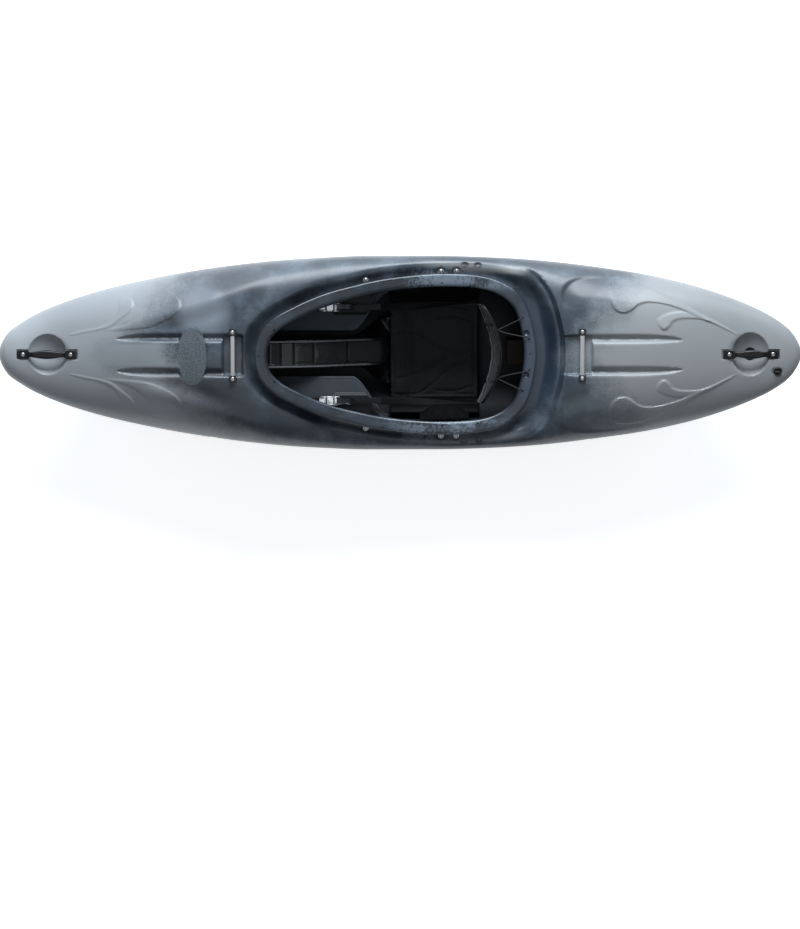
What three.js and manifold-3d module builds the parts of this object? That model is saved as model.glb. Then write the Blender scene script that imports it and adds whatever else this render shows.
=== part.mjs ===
// Whitewater kayak: a rotomoulded shell with handles, security bars and cockpit outfitting.
// Millimetres. +X runs to the stern, +Y to starboard, +Z up, and the keel lies on z = 0.
import * as THREE from 'three';
import { mergeVertices } from 'three/addons/utils/BufferGeometryUtils.js';
import Module from 'manifold-3d';

const wasm = await Module();
wasm.setup();

// Shell
const hull_length = 2600;
const hull_beam = 630;
const hull_height = 397;
const hull_wall = 8;
const seat_gap = 0.3;
const cut_overrun = 12;

// Half beam along the length, as shares of half the beam
const beam_shares = [
  [0, 0.05], [0.0125, 0.22], [0.025, 0.3], [0.05, 0.42], [0.1, 0.58], [0.15, 0.695],
  [0.2, 0.784], [0.25, 0.856], [0.3, 0.912], [0.35, 0.954], [0.4, 0.98], [0.46, 1],
  [0.55, 1], [0.6, 0.99], [0.65, 0.969], [0.7, 0.933], [0.75, 0.881], [0.8, 0.82],
  [0.85, 0.732], [0.9, 0.61], [0.95, 0.44], [0.975, 0.315], [0.9875, 0.22], [1, 0.05],
];
// Heights along the length, as shares of the overall height
const keel_shares = [
  [0, 0.69], [0.01, 0.594], [0.025, 0.52], [0.05, 0.43], [0.1, 0.282], [0.15, 0.192],
  [0.2, 0.119], [0.25, 0.061], [0.3, 0.029], [0.36, 0.009], [0.42, 0], [0.54, 0],
  [0.6, 0.022], [0.65, 0.053], [0.7, 0.086], [0.75, 0.119], [0.8, 0.184], [0.85, 0.258],
  [0.9, 0.348], [0.95, 0.471], [0.975, 0.544], [0.99, 0.61], [1, 0.7],
];
const sheer_shares = [
  [0, 0.703], [0.02, 0.67], [0.043, 0.645], [0.086, 0.613], [0.13, 0.583], [0.215, 0.546],
  [0.335, 0.52], [0.45, 0.51], [0.6, 0.511], [0.7, 0.523], [0.8, 0.557], [0.88, 0.604],
  [0.93, 0.64], [0.965, 0.679], [1, 0.715],
];
const deck_shares = [
  [0, 0.727], [0.01, 0.785], [0.025, 0.8], [0.05, 0.803], [0.1, 0.826], [0.15, 0.872],
  [0.2, 0.922], [0.25, 0.955], [0.275, 0.968], [0.3, 0.968], [0.325, 0.96], [0.375, 0.932],
  [0.42, 0.856], [0.46, 0.816], [0.5, 0.78], [0.55, 0.738], [0.6, 0.736], [0.65, 0.775],
  [0.675, 0.831], [0.7, 0.89], [0.72, 0.912], [0.75, 0.912], [0.8, 0.889], [0.85, 0.849],
  [0.9, 0.808], [0.95, 0.775], [0.975, 0.772], [0.99, 0.762], [1, 0.73],
];
// Exponent of the deck's cross-section: 2 is an ellipse, 4 a flat top with steep shoulders
const deck_fullness_shares = [
  [0, 2], [0.15, 2], [0.25, 2.35], [0.32, 2.9], [0.4, 3.7], [0.6, 4], [0.66, 3.4], [0.72, 2.5],
  [0.85, 2.1], [1, 2],
];
const chine_width_share = 0.66;
const chine_height_share = 0.28;
const flat_bottom_share = 0.35;
const bottom_curve_share = 1.7;
const side_bulge_share = 0.03;
const lower_curve_shares = [0.68, 0.85, 1];
const side_curve_shares = [0.33, 0.67, 1];
const deck_ring_count = 7;
const hull_station_count = 40;
const cavity_station_count = 18;

// Top of the hollow, as shares of the overall height, low under the cockpit, the bars and the bowls
const cavity_top_shares = [
  [0.03, 0.72], [0.045, 0.72], [0.065, 0.72], [0.09, 0.722], [0.1, 0.79], [0.15, 0.845],
  [0.2, 0.9], [0.25, 0.925], [0.272, 0.925],
  [0.276, 0.88], [0.306, 0.855], [0.35, 0.845], [0.395, 0.795], [0.444, 0.737], [0.491, 0.678],
  [0.54, 0.64], [0.59, 0.625], [0.635, 0.63], [0.704, 0.632], [0.712, 0.835], [0.735, 0.843],
  [0.742, 0.885], [0.8, 0.86], [0.85, 0.825], [0.885, 0.79], [0.905, 0.705],
  [0.93, 0.705], [0.96, 0.705], [0.978, 0.72],
];

// Cockpit coaming, with the rim's outer edge as shares of its length and of its half width
const coaming_front_share = 0.3184;
const coaming_rear_share = 0.66955;
const coaming_length = 913;
const coaming_width = 517;
const coaming_height = 46;
const rim_lip = 27;
const rim_band = 40;
const rim_thickness = 11;
const rim_round = 4;
const coaming_wall = 8;
const coaming_point_count = 30;
const coaming_plan_shares = [
  [0, 0], [0.004, 0.13], [0.022, 0.3], [0.07, 0.466], [0.139, 0.6], [0.207, 0.708], [0.276, 0.793],
  [0.345, 0.855], [0.414, 0.911], [0.482, 0.95], [0.586, 0.988], [0.689, 1], [0.793, 0.976],
  [0.861, 0.914], [0.917, 0.805], [0.958, 0.64], [0.978, 0.467], [0.995, 0.2], [1, 0],
];
const rim_shares = [
  [0.31, 0.996], [0.3475, 0.988], [0.396, 0.937], [0.4435, 0.881], [0.491, 0.819], [0.539, 0.778],
  [0.587, 0.763], [0.635, 0.768], [0.66, 0.776],
];
// Moat round the coaming
const moat_side = 30;
const moat_front = 25;
const moat_rear = 76;
const moat_flare = 8;
const moat_rear_flare = 26;

// Grab handles, each over a round bowl in the deck
const bow_handle_share = 0.0624;
const stern_handle_share = 0.9354;
const bow_handle_length = 193;
const stern_handle_length = 181;
const handle_foot = 39;
const handle_grip_width = 29;
const handle_thickness = 12;
const handle_rise = 4;
const handle_ridge = 1.6;
const bow_bowl_length = 124;
const bow_bowl_width = 133;
const stern_bowl_length = 118;
const stern_bowl_width = 141;
const bowl_depth = 32;
const bowl_column_count = 16;
const bowl_row_count = 8;
const handle_bed = 5;
const handle_bed_width = 28;
const handle_neck_share = 0.7;
const handle_grid_counts = [20, 4];
// Width of half the handle, from its end to its middle, as shares of the grip's width
const handle_width_shares = [[0, 0.74], [0.08, 0.94], [0.38, 0.94], [0.5, 0.62], [0.72, 0.82], [1, 1]];

// Dome-headed bolts and their washers
const bolt_head = 20;
const bolt_head_height = 5;
const bolt_shank = 8;
const bolt_length = 20;
const bolt_clearance = 0.3;
const bolt_side_count = 8;

// Security bars
const front_bar_setback = 31;
const rear_bar_setback = 42.7;
const bar_length = 170;
const bar_width = 14;
const bar_thickness = 4;
const bar_curve_count = 6;
const bar_hole_spacing = 149;
const bar_pad_size = 21;
const bar_pad_height = 6;
const front_flat_length = 55;
const rear_flat_setback = 18.7;
const rear_flat_length = 94;
const bar_flat_width = 118;
const front_flat_level_share = 0.922;
const rear_flat_level_share = 0.874;

// Grooves along the decks, each beside a raised middle panel
const groove_width = 20;
const groove_depth = 10;
const groove_offset = 56;
const front_groove_start_share = 0.15;
const front_groove_end_share = 0.285;
const rear_groove_start_share = 0.735;
const rear_groove_end_share = 0.85;
const groove_step_count = 8;

// Drain plug on the port side of the stern deck
const drain_share = 0.9691;
const drain_offset = 54;
const drain_tilt_deg = 22;
const drain_plug_diameter = 27;
const drain_plug_height = 6;
const drain_thread = 17;
const drain_thread_length = 13;
const drain_gasket_diameter = 25;
const drain_gasket_height = 2.4;
const drain_bed = 3;
const drain_grip_width = 4;
const drain_grip_height = 4;
const drain_rim_share = 0.7;
const drain_crown_share = 0.85;
const drain_grip_share = 0.75;
const drain_hole_depth = 32;
const drain_side_count = 16;
const drain_play = 0.3;

// Bolts through the moat floor: place along the hull and distance from the middle
const brace_bolt_share = 0.4575;
const brace_bolt_offset = 239.7;
const seat_bolt_share = 0.5607;
const seat_bolt_spacing = 50;
const seat_bolt_offset = 267;
const moat_bolt_length = 34;
const spot_face = 25;
const spot_face_depth = 1.5;

// Side bolts, in pairs through the hull side
const side_bolt_share = 0.3367;
const side_bolt_spacing = 52;
const side_bolt_height = 174;

// Footrest: a padded plate on two arms that slide through guides on the hull sides
const footrest_share = 0.1925;
const footrest_plate_thickness = 8;
const footrest_foam_thickness = 28;
const footrest_low = 132;
const footrest_high = 284;
const footrest_width = 320;
const footrest_outline_shares = [[0.68, 0], [1, 0.4], [1, 0.82], [0.86, 1]];
const foam_inset = 14;
const arm_thickness = 4;
const arm_height = 24;
const arm_offset = 212;
const arm_bend_share = 0.275;
const arm_end_share = 0.392;
const guide_length = 92;
const guide_height = 44;
const guide_lip = 6;
const guide_play = 0.5;
const guide_step_count = 4;

// Foam pillars
const pillar_gap = 0.8;
const front_pillar_width = 90;
const front_pillar_rim_width = 9;
const front_pillar_rim_height = 9;
const front_pillar_row_count = 10;
const front_pillar_shares = [
  [0.256, 0.86], [0.3, 0.84], [0.337, 0.79], [0.35, 0.785], [0.352, 0.74], [0.3675, 0.72], [0.3695, 0.75],
  [0.395, 0.7], [0.397, 0.62], [0.434, 0.5], [0.436, 0.44], [0.47, 0.35], [0.482, 0.31], [0.487, 0.24],
];
const bow_pillar_width = 70;
const bow_pillar_shares = [[0.062, 0.7], [0.088, 0.7], [0.105, 0.78], [0.145, 0.825]];
const stern_pillar_width = 80;
const stern_pillar_shares = [
  [0.635, 0.6], [0.705, 0.6], [0.714, 0.8], [0.74, 0.83], [0.8, 0.845], [0.85, 0.81], [0.885, 0.775],
];

// Seat
const seat_front_share = 0.4875;
const seat_length = 292;
const seat_wall = 5;
const seat_floor_height = 42;
const seat_lip_rise = 50;
const seat_rear_rise = 24;
const seat_side_rise = 66;
const seat_side_share = 0.66;
const seat_cover_thickness = 18;
const seat_cover_edge = 6;
const seat_column_count = 12;
const seat_row_count = 14;
const seat_cover_row_count = 10;

// Side plates that hang the seat from the coaming, and the hip pads on them
const hanger_length = 92;
const hanger_thickness = 4;
const hanger_flange = 40;
const hanger_waist = 210;
const hanger_waist_height = 150;
const hanger_foot = 206;
const hanger_foot_height = 86;
const hip_pad_length = 168;
const hip_pad_thickness = 36;
const hip_pad_edge = 10;
const hip_pad_low = 118;
const hip_pad_high = 202;
const hip_pad_lead = 11.5;
const hip_pad_grid_counts = [8, 6];

// Backband
const backband_rear_share = 0.6265;
const backband_width = 322;
const backband_depth = 60;
const backband_low = 180;
const backband_high = 326;
const backband_end_height = 84;
const backband_tuck = 10;
const backband_shell = 4;
const backband_pad_thickness = 24;
const backband_pad_edge = 8;
const backband_grid_counts = [12, 6];
const backband_droop_share = 0.08333;
const strap_width = 25;
const strap_thickness = 2.4;
const strap_offset = 152;
const strap_front_share = 0.476;
const strap_height = 247;
const strap_grid_counts = [14, 1];

// Elastic cords from the backband to the rear of the coaming
const cord_diameter = 4;
const cord_hole = 7;
const cord_side_count = 8;
const cord_step_count = 26;
const cord_start_share = 0.4907;
const cord_outer_share = 0.6524;
const cord_outer_offset = 118;
const cord_inner_share = 0.6603;
const cord_inner_offset = 50;

// Thigh braces, the foam under them, and the ratchets on top
const brace_front_share = 0.4023;
const brace_rear_share = 0.4735;
const brace_inner = 125;
const brace_outer = 246;
const brace_thickness = 5;
const brace_hook = 8;
const brace_hook_width = 12;
const brace_boss = 26;
const brace_grid_counts = [10, 7];
const thigh_pad_front_share = 0.345;
const thigh_pad_rear_share = 0.485;
const thigh_pad_inner = 75;
const thigh_pad_rear_inner = 196;
const thigh_pad_thickness = 13;
const thigh_pad_curve_share = 0.68;
const thigh_pad_grid_counts = [10, 2];
const ratchet_share = 0.413;
const ratchet_length = 62;
const ratchet_width = 28;
const ratchet_wall = 2.5;
const ratchet_floor = 2.5;
const ratchet_cheek = 21;
const ratchet_pin = 5;
const ratchet_pin_height = 17;
const ratchet_pin_inset = 12;
const ratchet_play = 0.4;
const lever_length = 58;
const lever_thickness = 4;
const lever_boss = 12;
const lever_tip_rise = 6;
const lever_rise = 9;
const release_boss = 9;
const release_length = 17;
const release_thickness = 3;
const ladder_width = 20;
const ladder_thickness = 3;
const ladder_length = 270;
const ladder_lift = 0.5;
const ladder_tooth = 1.2;
const ladder_pitch = 12;

// Shape tools
const group = new THREE.Group();
const half_turn = Math.PI;
const degree = Math.PI / 180;

const finishes = {
  shell: new THREE.MeshStandardMaterial({ color: 0x5d6670, roughness: 0.42, metalness: 0 }),
  black: new THREE.MeshStandardMaterial({ color: 0x17181a, roughness: 0.5, metalness: 0 }),
  steel: new THREE.MeshStandardMaterial({ color: 0xc4c6c8, roughness: 0.28, metalness: 1 }),
  chrome: new THREE.MeshStandardMaterial({ color: 0xdadcde, roughness: 0.12, metalness: 1 }),
  aluminium: new THREE.MeshStandardMaterial({ color: 0xa9abad, roughness: 0.4, metalness: 1 }),
  rubber: new THREE.MeshStandardMaterial({ color: 0x1c1c1d, roughness: 0.85, metalness: 0 }),
  foam: new THREE.MeshStandardMaterial({ color: 0x8d8f91, roughness: 0.95, metalness: 0 }),
  fabric: new THREE.MeshStandardMaterial({ color: 0x222326, roughness: 0.92, metalness: 0 }),
};

function add(name, geometry, material) {
  const mesh = new THREE.Mesh(geometry, material);
  mesh.name = name;
  group.add(mesh);
  return mesh;
}

// Closed mesh from points and triangles, turned the right way out
function closedMesh(points, triangles) {
  let volume = 0;
  for (const [a, b, c] of triangles) {
    const [p, q, r] = [points[a], points[b], points[c]];
    volume += p[0] * (q[1] * r[2] - q[2] * r[1]) - p[1] * (q[0] * r[2] - q[2] * r[0])
      + p[2] * (q[0] * r[1] - q[1] * r[0]);
  }
  const faces = volume < 0 ? triangles.map(([a, b, c]) => [a, c, b]) : triangles;
  const geometry = new THREE.BufferGeometry();
  geometry.setAttribute('position', new THREE.Float32BufferAttribute(points.flat(), 3));
  geometry.setIndex(faces.flat());
  geometry.computeVertexNormals();
  return geometry;
}

function toSolid(geometry) {
  const bare = geometry.clone();
  for (const name of ['normal', 'uv']) bare.deleteAttribute(name);
  const merged = mergeVertices(bare);
  return new wasm.Manifold(new wasm.Mesh({
    numProp: 3,
    vertProperties: new Float32Array(merged.attributes.position.array),
    triVerts: new Uint32Array(merged.index.array),
  }));
}

function fromSolid(solid) {
  const mesh = solid.getMesh();
  const geometry = new THREE.BufferGeometry();
  geometry.setAttribute('position', new THREE.BufferAttribute(mesh.vertProperties.slice(), 3));
  geometry.setIndex(new THREE.BufferAttribute(mesh.triVerts.slice(), 1));
  geometry.computeVertexNormals();
  return geometry;
}

function cut(body, cutters) {
  return cutters.reduce((left, cutter) => left.subtract(toSolid(cutter)), body);
}

// Smooth curve through hand-chosen points that never overshoots them
function through(points, share) {
  const last = points.length - 1;
  if (share <= points[0][0]) return points[0][1];
  if (share >= points[last][0]) return points[last][1];
  let i = 0;
  while (share > points[i + 1][0]) i += 1;
  const step = (k) => (points[k + 1][1] - points[k][1]) / (points[k + 1][0] - points[k][0]);
  const slope = (k) => {
    if (k === 0) return step(0);
    if (k === last) return step(last - 1);
    const product = step(k - 1) * step(k);
    return product <= 0 ? 0 : 2 * product / (step(k - 1) + step(k));
  };
  const width = points[i + 1][0] - points[i][0];
  const t = (share - points[i][0]) / width;
  const rise = t * t * (3 - 2 * t);
  return points[i][1] * (1 - rise) + points[i + 1][1] * rise
    + width * (slope(i) * t * (1 - t) * (1 - t) - slope(i + 1) * t * t * (1 - t));
}

// Straight runs between hand-chosen points
function along(points, share) {
  const last = points.length - 1;
  if (share <= points[0][0]) return points[0][1];
  if (share >= points[last][0]) return points[last][1];
  let i = 0;
  while (share > points[i + 1][0]) i += 1;
  const t = (share - points[i][0]) / (points[i + 1][0] - points[i][0]);
  return points[i][1] + (points[i + 1][1] - points[i][1]) * t;
}

const mix = (a, b, t) => a + (b - a) * t;
const ease = (t) => t * t * (3 - 2 * t);
const clamp = (value, low, high) => Math.min(high, Math.max(low, value));
const range = (count) => Array.from({ length: count }, (_, i) => i);

// Skin over rings of the same number of points, closed by a fan at each end
function loft(rings) {
  const points = rings.flat();
  const count = rings[0].length;
  const triangles = [];
  for (const r of range(rings.length - 1)) {
    for (const i of range(count)) {
      const a = r * count + i;
      const b = r * count + (i + 1) % count;
      triangles.push([a, b, b + count], [a, b + count, a + count]);
    }
  }
  for (const [start, flip] of [[0, true], [(rings.length - 1) * count, false]]) {
    const ring = points.slice(start, start + count);
    const sum = ring.reduce((total, point) => total.map((value, axis) => value + point[axis]));
    const hub = points.length;
    points.push(sum.map((value) => value / count));
    for (const i of range(count)) {
      const a = start + i;
      const b = start + (i + 1) % count;
      triangles.push(flip ? [hub, b, a] : [hub, a, b]);
    }
  }
  return closedMesh(points, triangles);
}

// Slab between two surfaces, each a function of two shares
function slab(columns, rows, top, bottom) {
  const points = [];
  const index = (side, i, j) => side * (columns + 1) * (rows + 1) + i * (rows + 1) + j;
  for (const surface of [top, bottom]) {
    for (const i of range(columns + 1)) {
      for (const j of range(rows + 1)) points.push(surface(i / columns, j / rows));
    }
  }
  const triangles = [];
  const quad = (a, b, c, d) => triangles.push([a, b, c], [a, c, d]);
  for (const i of range(columns)) {
    for (const j of range(rows)) {
      quad(index(0, i, j), index(0, i + 1, j), index(0, i + 1, j + 1), index(0, i, j + 1));
      quad(index(1, i, j), index(1, i, j + 1), index(1, i + 1, j + 1), index(1, i + 1, j));
    }
  }
  for (const i of range(columns)) {
    quad(index(0, i, 0), index(1, i, 0), index(1, i + 1, 0), index(0, i + 1, 0));
    quad(index(0, i, rows), index(0, i + 1, rows), index(1, i + 1, rows), index(1, i, rows));
  }
  for (const j of range(rows)) {
    quad(index(0, 0, j), index(0, 0, j + 1), index(1, 0, j + 1), index(1, 0, j));
    quad(index(0, columns, j), index(1, columns, j), index(1, columns, j + 1), index(0, columns, j + 1));
  }
  return closedMesh(points, triangles);
}

// Solid between two loops of points that mirror each other across the middle line
function loopSolid(lower, upper) {
  const count = lower.length;
  const half = count / 2;
  const points = [...lower, ...upper];
  const triangles = [];
  for (const i of range(count)) {
    const next = (i + 1) % count;
    triangles.push([i, next, next + count], [i, next + count, i + count]);
  }
  for (const i of range(half)) {
    const [a, b] = [i, i + 1];
    const [c, d] = [(count - i) % count, count - i - 1];
    for (const [side, flip] of [[0, true], [count, false]]) {
      for (const [p, q, r] of [[a, b, d], [a, d, c]]) {
        if (p === r || q === r) continue;
        triangles.push(flip ? [side + p, side + r, side + q] : [side + p, side + q, side + r]);
      }
    }
  }
  return closedMesh(points, triangles);
}

function box(length, width, height, x, y, z) {
  const geometry = new THREE.BoxGeometry(length, width, height);
  geometry.translate(x, y, z);
  return geometry;
}

// Round bar along Z, standing on z
function post(diameter, height, x, y, z, sides = bolt_side_count) {
  const geometry = new THREE.CylinderGeometry(diameter / 2, diameter / 2, height, sides);
  geometry.rotateX(half_turn / 2);
  geometry.translate(x, y, z + height / 2);
  return geometry;
}

// Plate with an outline in X and Z, centred on y and given its width along Y
function plateAcross(outline, width, y) {
  const shape = new THREE.Shape(outline.map(([x, z]) => new THREE.Vector2(x, z)));
  const geometry = new THREE.ExtrudeGeometry(shape, { depth: width, bevelEnabled: false });
  geometry.rotateX(half_turn / 2);
  geometry.translate(0, y + width / 2, 0);
  return geometry;
}

// Bar with a section in Y and Z, running along X from x
function barAlong(section, length, x) {
  const shape = new THREE.Shape(section.map(([y, z]) => new THREE.Vector2(y, z)));
  const geometry = new THREE.ExtrudeGeometry(shape, { depth: length, bevelEnabled: false });
  geometry.rotateX(half_turn / 2);
  geometry.rotateZ(half_turn / 2);
  geometry.translate(x, 0, 0);
  return geometry;
}

// Hull lines: the cockpit keeps its own length, and the bow and stern share the rest
const end_shares = coaming_front_share + 1 - coaming_rear_share;
const bow_length = (hull_length - coaming_length) * coaming_front_share / end_shares;
const coaming_front = bow_length - hull_length / 2;
const coaming_rear = coaming_front + coaming_length;
const layout = [
  [0, -hull_length / 2], [coaming_front_share, coaming_front], [coaming_rear_share, coaming_rear],
  [1, hull_length / 2],
];
const layout_back = layout.map(([share, x]) => [x, share]);
const at = (share) => along(layout, share);
const shareOf = (x) => along(layout_back, x);
const halfBeam = (x) => hull_beam / 2 * through(beam_shares, shareOf(x));
const keelZ = (x) => hull_height * through(keel_shares, shareOf(x));
const sheerZ = (x) => hull_height * through(sheer_shares, shareOf(x));
const deckTopZ = (x) => hull_height * through(deck_shares, shareOf(x));
const fullness = (x) => through(deck_fullness_shares, shareOf(x));
const cavityTopZ = (x) => hull_height * along(cavity_top_shares, shareOf(x));
const rimZ = (x) => hull_height * through(rim_shares, shareOf(x));
const moatZ = (x) => rimZ(x) - coaming_height;

// Height of the deck at a place, before anything is cut into it
function deckZ(x, y) {
  const power = fullness(x);
  const reach = clamp(Math.abs(y) / halfBeam(x), 0, 1);
  return sheerZ(x) + (deckTopZ(x) - sheerZ(x)) * (1 - reach ** power) ** (1 / power);
}

// Outward place of the hull's side, between chine and sheer, at a height
function sideY(x, z, inset) {
  const low = keelZ(x) + (sheerZ(x) - keelZ(x)) * chine_height_share;
  const beam = halfBeam(x) - inset;
  return mix(beam * chine_width_share, beam, clamp((z - low) / (sheerZ(x) - low), 0, 1));
}

// The same place on the inner face of the side
function insideY(x, z) {
  const keel = keelZ(x) + hull_wall;
  const low = keel + (sheerZ(x) - keel) * chine_height_share;
  const beam = halfBeam(x) - hull_wall;
  return mix(beam * chine_width_share, beam, clamp((z - low) / (sheerZ(x) - low), 0, 1));
}

// One ring of the hull, from the keel up the starboard side to the deck and down to port
function section(x, inset, top) {
  const beam = Math.max(halfBeam(x) - inset, 1 / 2);
  const chine = beam * chine_width_share;
  const sheer = sheerZ(x);
  const keel = keelZ(x) + inset;
  const chineZ = keel + (sheer - keel) * chine_height_share;
  const power = fullness(x);
  const side = [[chine * flat_bottom_share, keel]];
  for (const t of lower_curve_shares) {
    const climb = ((t - flat_bottom_share) / (1 - flat_bottom_share)) ** bottom_curve_share;
    side.push([chine * t, mix(keel, chineZ, climb)]);
  }
  for (const t of side_curve_shares) {
    const bulge = side_bulge_share * (beam - chine) * Math.sin(half_turn * t);
    side.push([mix(chine, beam, t) + bulge, mix(chineZ, sheer, t) - bulge]);
  }
  for (const i of range(deck_ring_count - 1)) {
    const angle = half_turn / 2 * (i + 1) / deck_ring_count;
    side.push([
      beam * Math.cos(angle) ** (2 / power),
      sheer + (top - sheer) * Math.sin(angle) ** (2 / power),
    ]);
  }
  const port = side.map(([y, z]) => [-y, z]).reverse();
  return [[0, keel], ...side, [0, top], ...port].map(([y, z]) => [x, y, z]);
}

function outerSkin() {
  const rings = range(hull_station_count + 1).map((i) => {
    const x = at((1 - Math.cos(half_turn * i / hull_station_count)) / 2);
    return section(x, 0, deckTopZ(x));
  });
  return loft(rings);
}

function hollow() {
  const first = cavity_top_shares[0][0];
  const last = cavity_top_shares[cavity_top_shares.length - 1][0];
  const shares = cavity_top_shares.map(([share]) => share);
  const nearest = (share) => Math.min(...shares.map((other) => Math.abs(other - share)));
  const spacing = (last - first) / cavity_station_count;
  const between = range(cavity_station_count).map((i) => first + spacing * i);
  const all = [...shares, ...between.filter((share) => nearest(share) > spacing / 3)];
  all.sort((a, b) => a - b);
  return loft(all.map((share) => section(at(share), hull_wall, cavityTopZ(at(share)))));
}

// Cockpit outline: the rim's outer edge, front to rear along starboard and back along port
function halfLoop(table, count) {
  const path = new THREE.CatmullRomCurve3(
    table.map(([x, y]) => new THREE.Vector3(
      coaming_front + coaming_length * x,
      coaming_width / 2 * y,
      0,
    )),
  );
  return path.getSpacedPoints(count).map((p) => [p.x, Math.max(p.y, 0)]);
}

function loop() {
  const half = halfLoop(coaming_plan_shares, coaming_point_count);
  const last = half.length - 1;
  half[0][1] = 0;
  half[last][1] = 0;
  const port = half.slice(1, last).reverse().map(([x, y]) => [x, -y]);
  const whole = [...half, ...port];
  return whole.map(([x, y], i) => {
    const before = whole[(i + whole.length - 1) % whole.length];
    const after = whole[(i + 1) % whole.length];
    const run = Math.hypot(after[0] - before[0], after[1] - before[1]);
    return { x, y, out_x: -(after[1] - before[1]) / run, out_y: (after[0] - before[0]) / run };
  });
}

const coaming_loop = loop();

// The outline moved outwards, or inwards where the step is negative
const offsetLoop = (step) => coaming_loop.map((p) => [p.x + p.out_x * step, p.y + p.out_y * step]);

function coaming() {
  const wall_out = -rim_lip;
  const wall_in = -rim_lip - coaming_wall;
  const profile = [
    [0, -rim_round], [0, -rim_thickness + rim_round / 2], [-rim_round, -rim_thickness],
    [wall_out + rim_round, -rim_thickness - rim_round / 2], [wall_out, -rim_thickness - rim_round * 2],
    [wall_out, -coaming_height - hull_wall], [wall_in, -coaming_height - hull_wall],
    [wall_in, -rim_thickness - rim_round], [-rim_band, -rim_round * 2],
    [-rim_band + rim_round, -rim_round / 2], [-rim_lip, 0], [-rim_round, 0],
  ];
  const count = coaming_loop.length;
  const points = [];
  for (const [step, height] of profile) {
    for (const p of coaming_loop) {
      points.push([p.x + p.out_x * step, p.y + p.out_y * step, rimZ(p.x) + height]);
    }
  }
  const triangles = [];
  for (const j of range(profile.length)) {
    for (const i of range(count)) {
      const [a, b] = [j * count + i, j * count + (i + 1) % count];
      const [c, d] = [(j + 1) % profile.length * count, (j + 1) % profile.length * count]
        .map((start, k) => start + (k === 0 ? i : (i + 1) % count));
      triangles.push([a, b, d], [a, d, c]);
    }
  }
  return closedMesh(points, triangles);
}

// Moat: a trough round the coaming, wider behind it
function moat() {
  const flareAt = (p) => (p.out_x > 0 ? mix(moat_flare, moat_rear_flare, p.out_x ** 2) : moat_flare);
  const reachAt = (p) => {
    const end = p.out_x > 0 ? moat_rear : moat_front;
    return mix(moat_side, end, p.out_x ** 4);
  };
  const spread = (p, extra) => {
    const step = reachAt(p) + extra;
    return [p.x + p.out_x * step, p.y + p.out_y * step];
  };
  const floor = coaming_loop.map((p) => [...spread(p, 0), moatZ(p.x)]);
  const top = hull_height + cut_overrun;
  const brim = coaming_loop.map((p) => [...spread(p, flareAt(p)), top]);
  return loopSolid(floor, brim);
}

function keyhole() {
  const step = -rim_lip - coaming_wall / 2;
  const edge = offsetLoop(step);
  const low = hull_height / 2;
  const top = hull_height + cut_overrun;
  return loopSolid(edge.map(([x, y]) => [x, y, low]), edge.map(([x, y]) => [x, y, top]));
}

// Round bowl under a handle, sunk into the deck
function bowl(x, length, width) {
  const geometry = new THREE.SphereGeometry(1, bowl_column_count, bowl_row_count);
  geometry.scale(length / 2, width / 2, bowl_depth);
  geometry.translate(x, 0, deckTopZ(x));
  return geometry;
}

// Deck cuts, the bars standing off the ends of the moat
const front_bar_x = coaming_front - moat_front - moat_flare - front_bar_setback;
const rear_bar_x = coaming_rear + moat_rear + moat_rear_flare + rear_bar_setback;

function flatLow(x, length, level_share) {
  const level = hull_height * level_share;
  const top = hull_height + cut_overrun;
  return box(length, bar_flat_width, top - level, x, 0, (top + level) / 2);
}

function groove(side, start_share, end_share, deep_at_end) {
  const rings = range(groove_step_count + 1).map((i) => {
    const t = i / groove_step_count;
    const x = at(mix(start_share, end_share, t));
    const strength = ease(clamp(2 * (deep_at_end ? t : 1 - t), 0, 1));
    const y = side * groove_offset;
    const surface = deckZ(x, y);
    const low = surface + mix(seat_gap, -groove_depth, strength);
    const high = surface + cut_overrun;
    const half = groove_width / 2;
    return [
      [x, y - half, high], [x, y - half / 3, low], [x, y + half / 3, low], [x, y + half, high],
    ];
  });
  return loft(rings);
}

const deckGrooves = [1, -1].flatMap((side) => [
  groove(side, front_groove_start_share, front_groove_end_share, true),
  groove(side, rear_groove_start_share, rear_groove_end_share, false),
]);

// Dome-headed bolt along Z with the underside of its head on z = 0
function boltShape(length) {
  const profile = [
    [0, -length], [bolt_shank / 2, -length], [bolt_shank / 2, 0],
    [bolt_head / 2, 0], [bolt_head / 3, bolt_head_height], [0, bolt_head_height],
  ];
  const geometry = new THREE.LatheGeometry(
    profile.map(([r, z]) => new THREE.Vector2(r, z)),
    bolt_side_count,
  );
  geometry.rotateX(half_turn / 2);
  return geometry;
}

const bolt_bore = bolt_shank + 2 * bolt_clearance;
const boltHole = (length) => post(bolt_bore, length + cut_overrun, 0, 0, -length - bolt_clearance);

// Handles are laid out level with their feet on z = 0, then tilted to the deck
function handleFrame(share, length) {
  const x = at(share);
  const reach = (length - handle_foot) / 2;
  const [front, rear] = [deckTopZ(x - reach), deckTopZ(x + reach)];
  const tilt = -Math.atan2(rear - front, 2 * reach);
  return { x, z: (front + rear) / 2 - handle_bed, tilt, reach, length };
}

function onDeck(geometry, frame) {
  geometry.rotateY(frame.tilt);
  geometry.translate(frame.x, 0, frame.z);
  return geometry;
}

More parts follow.
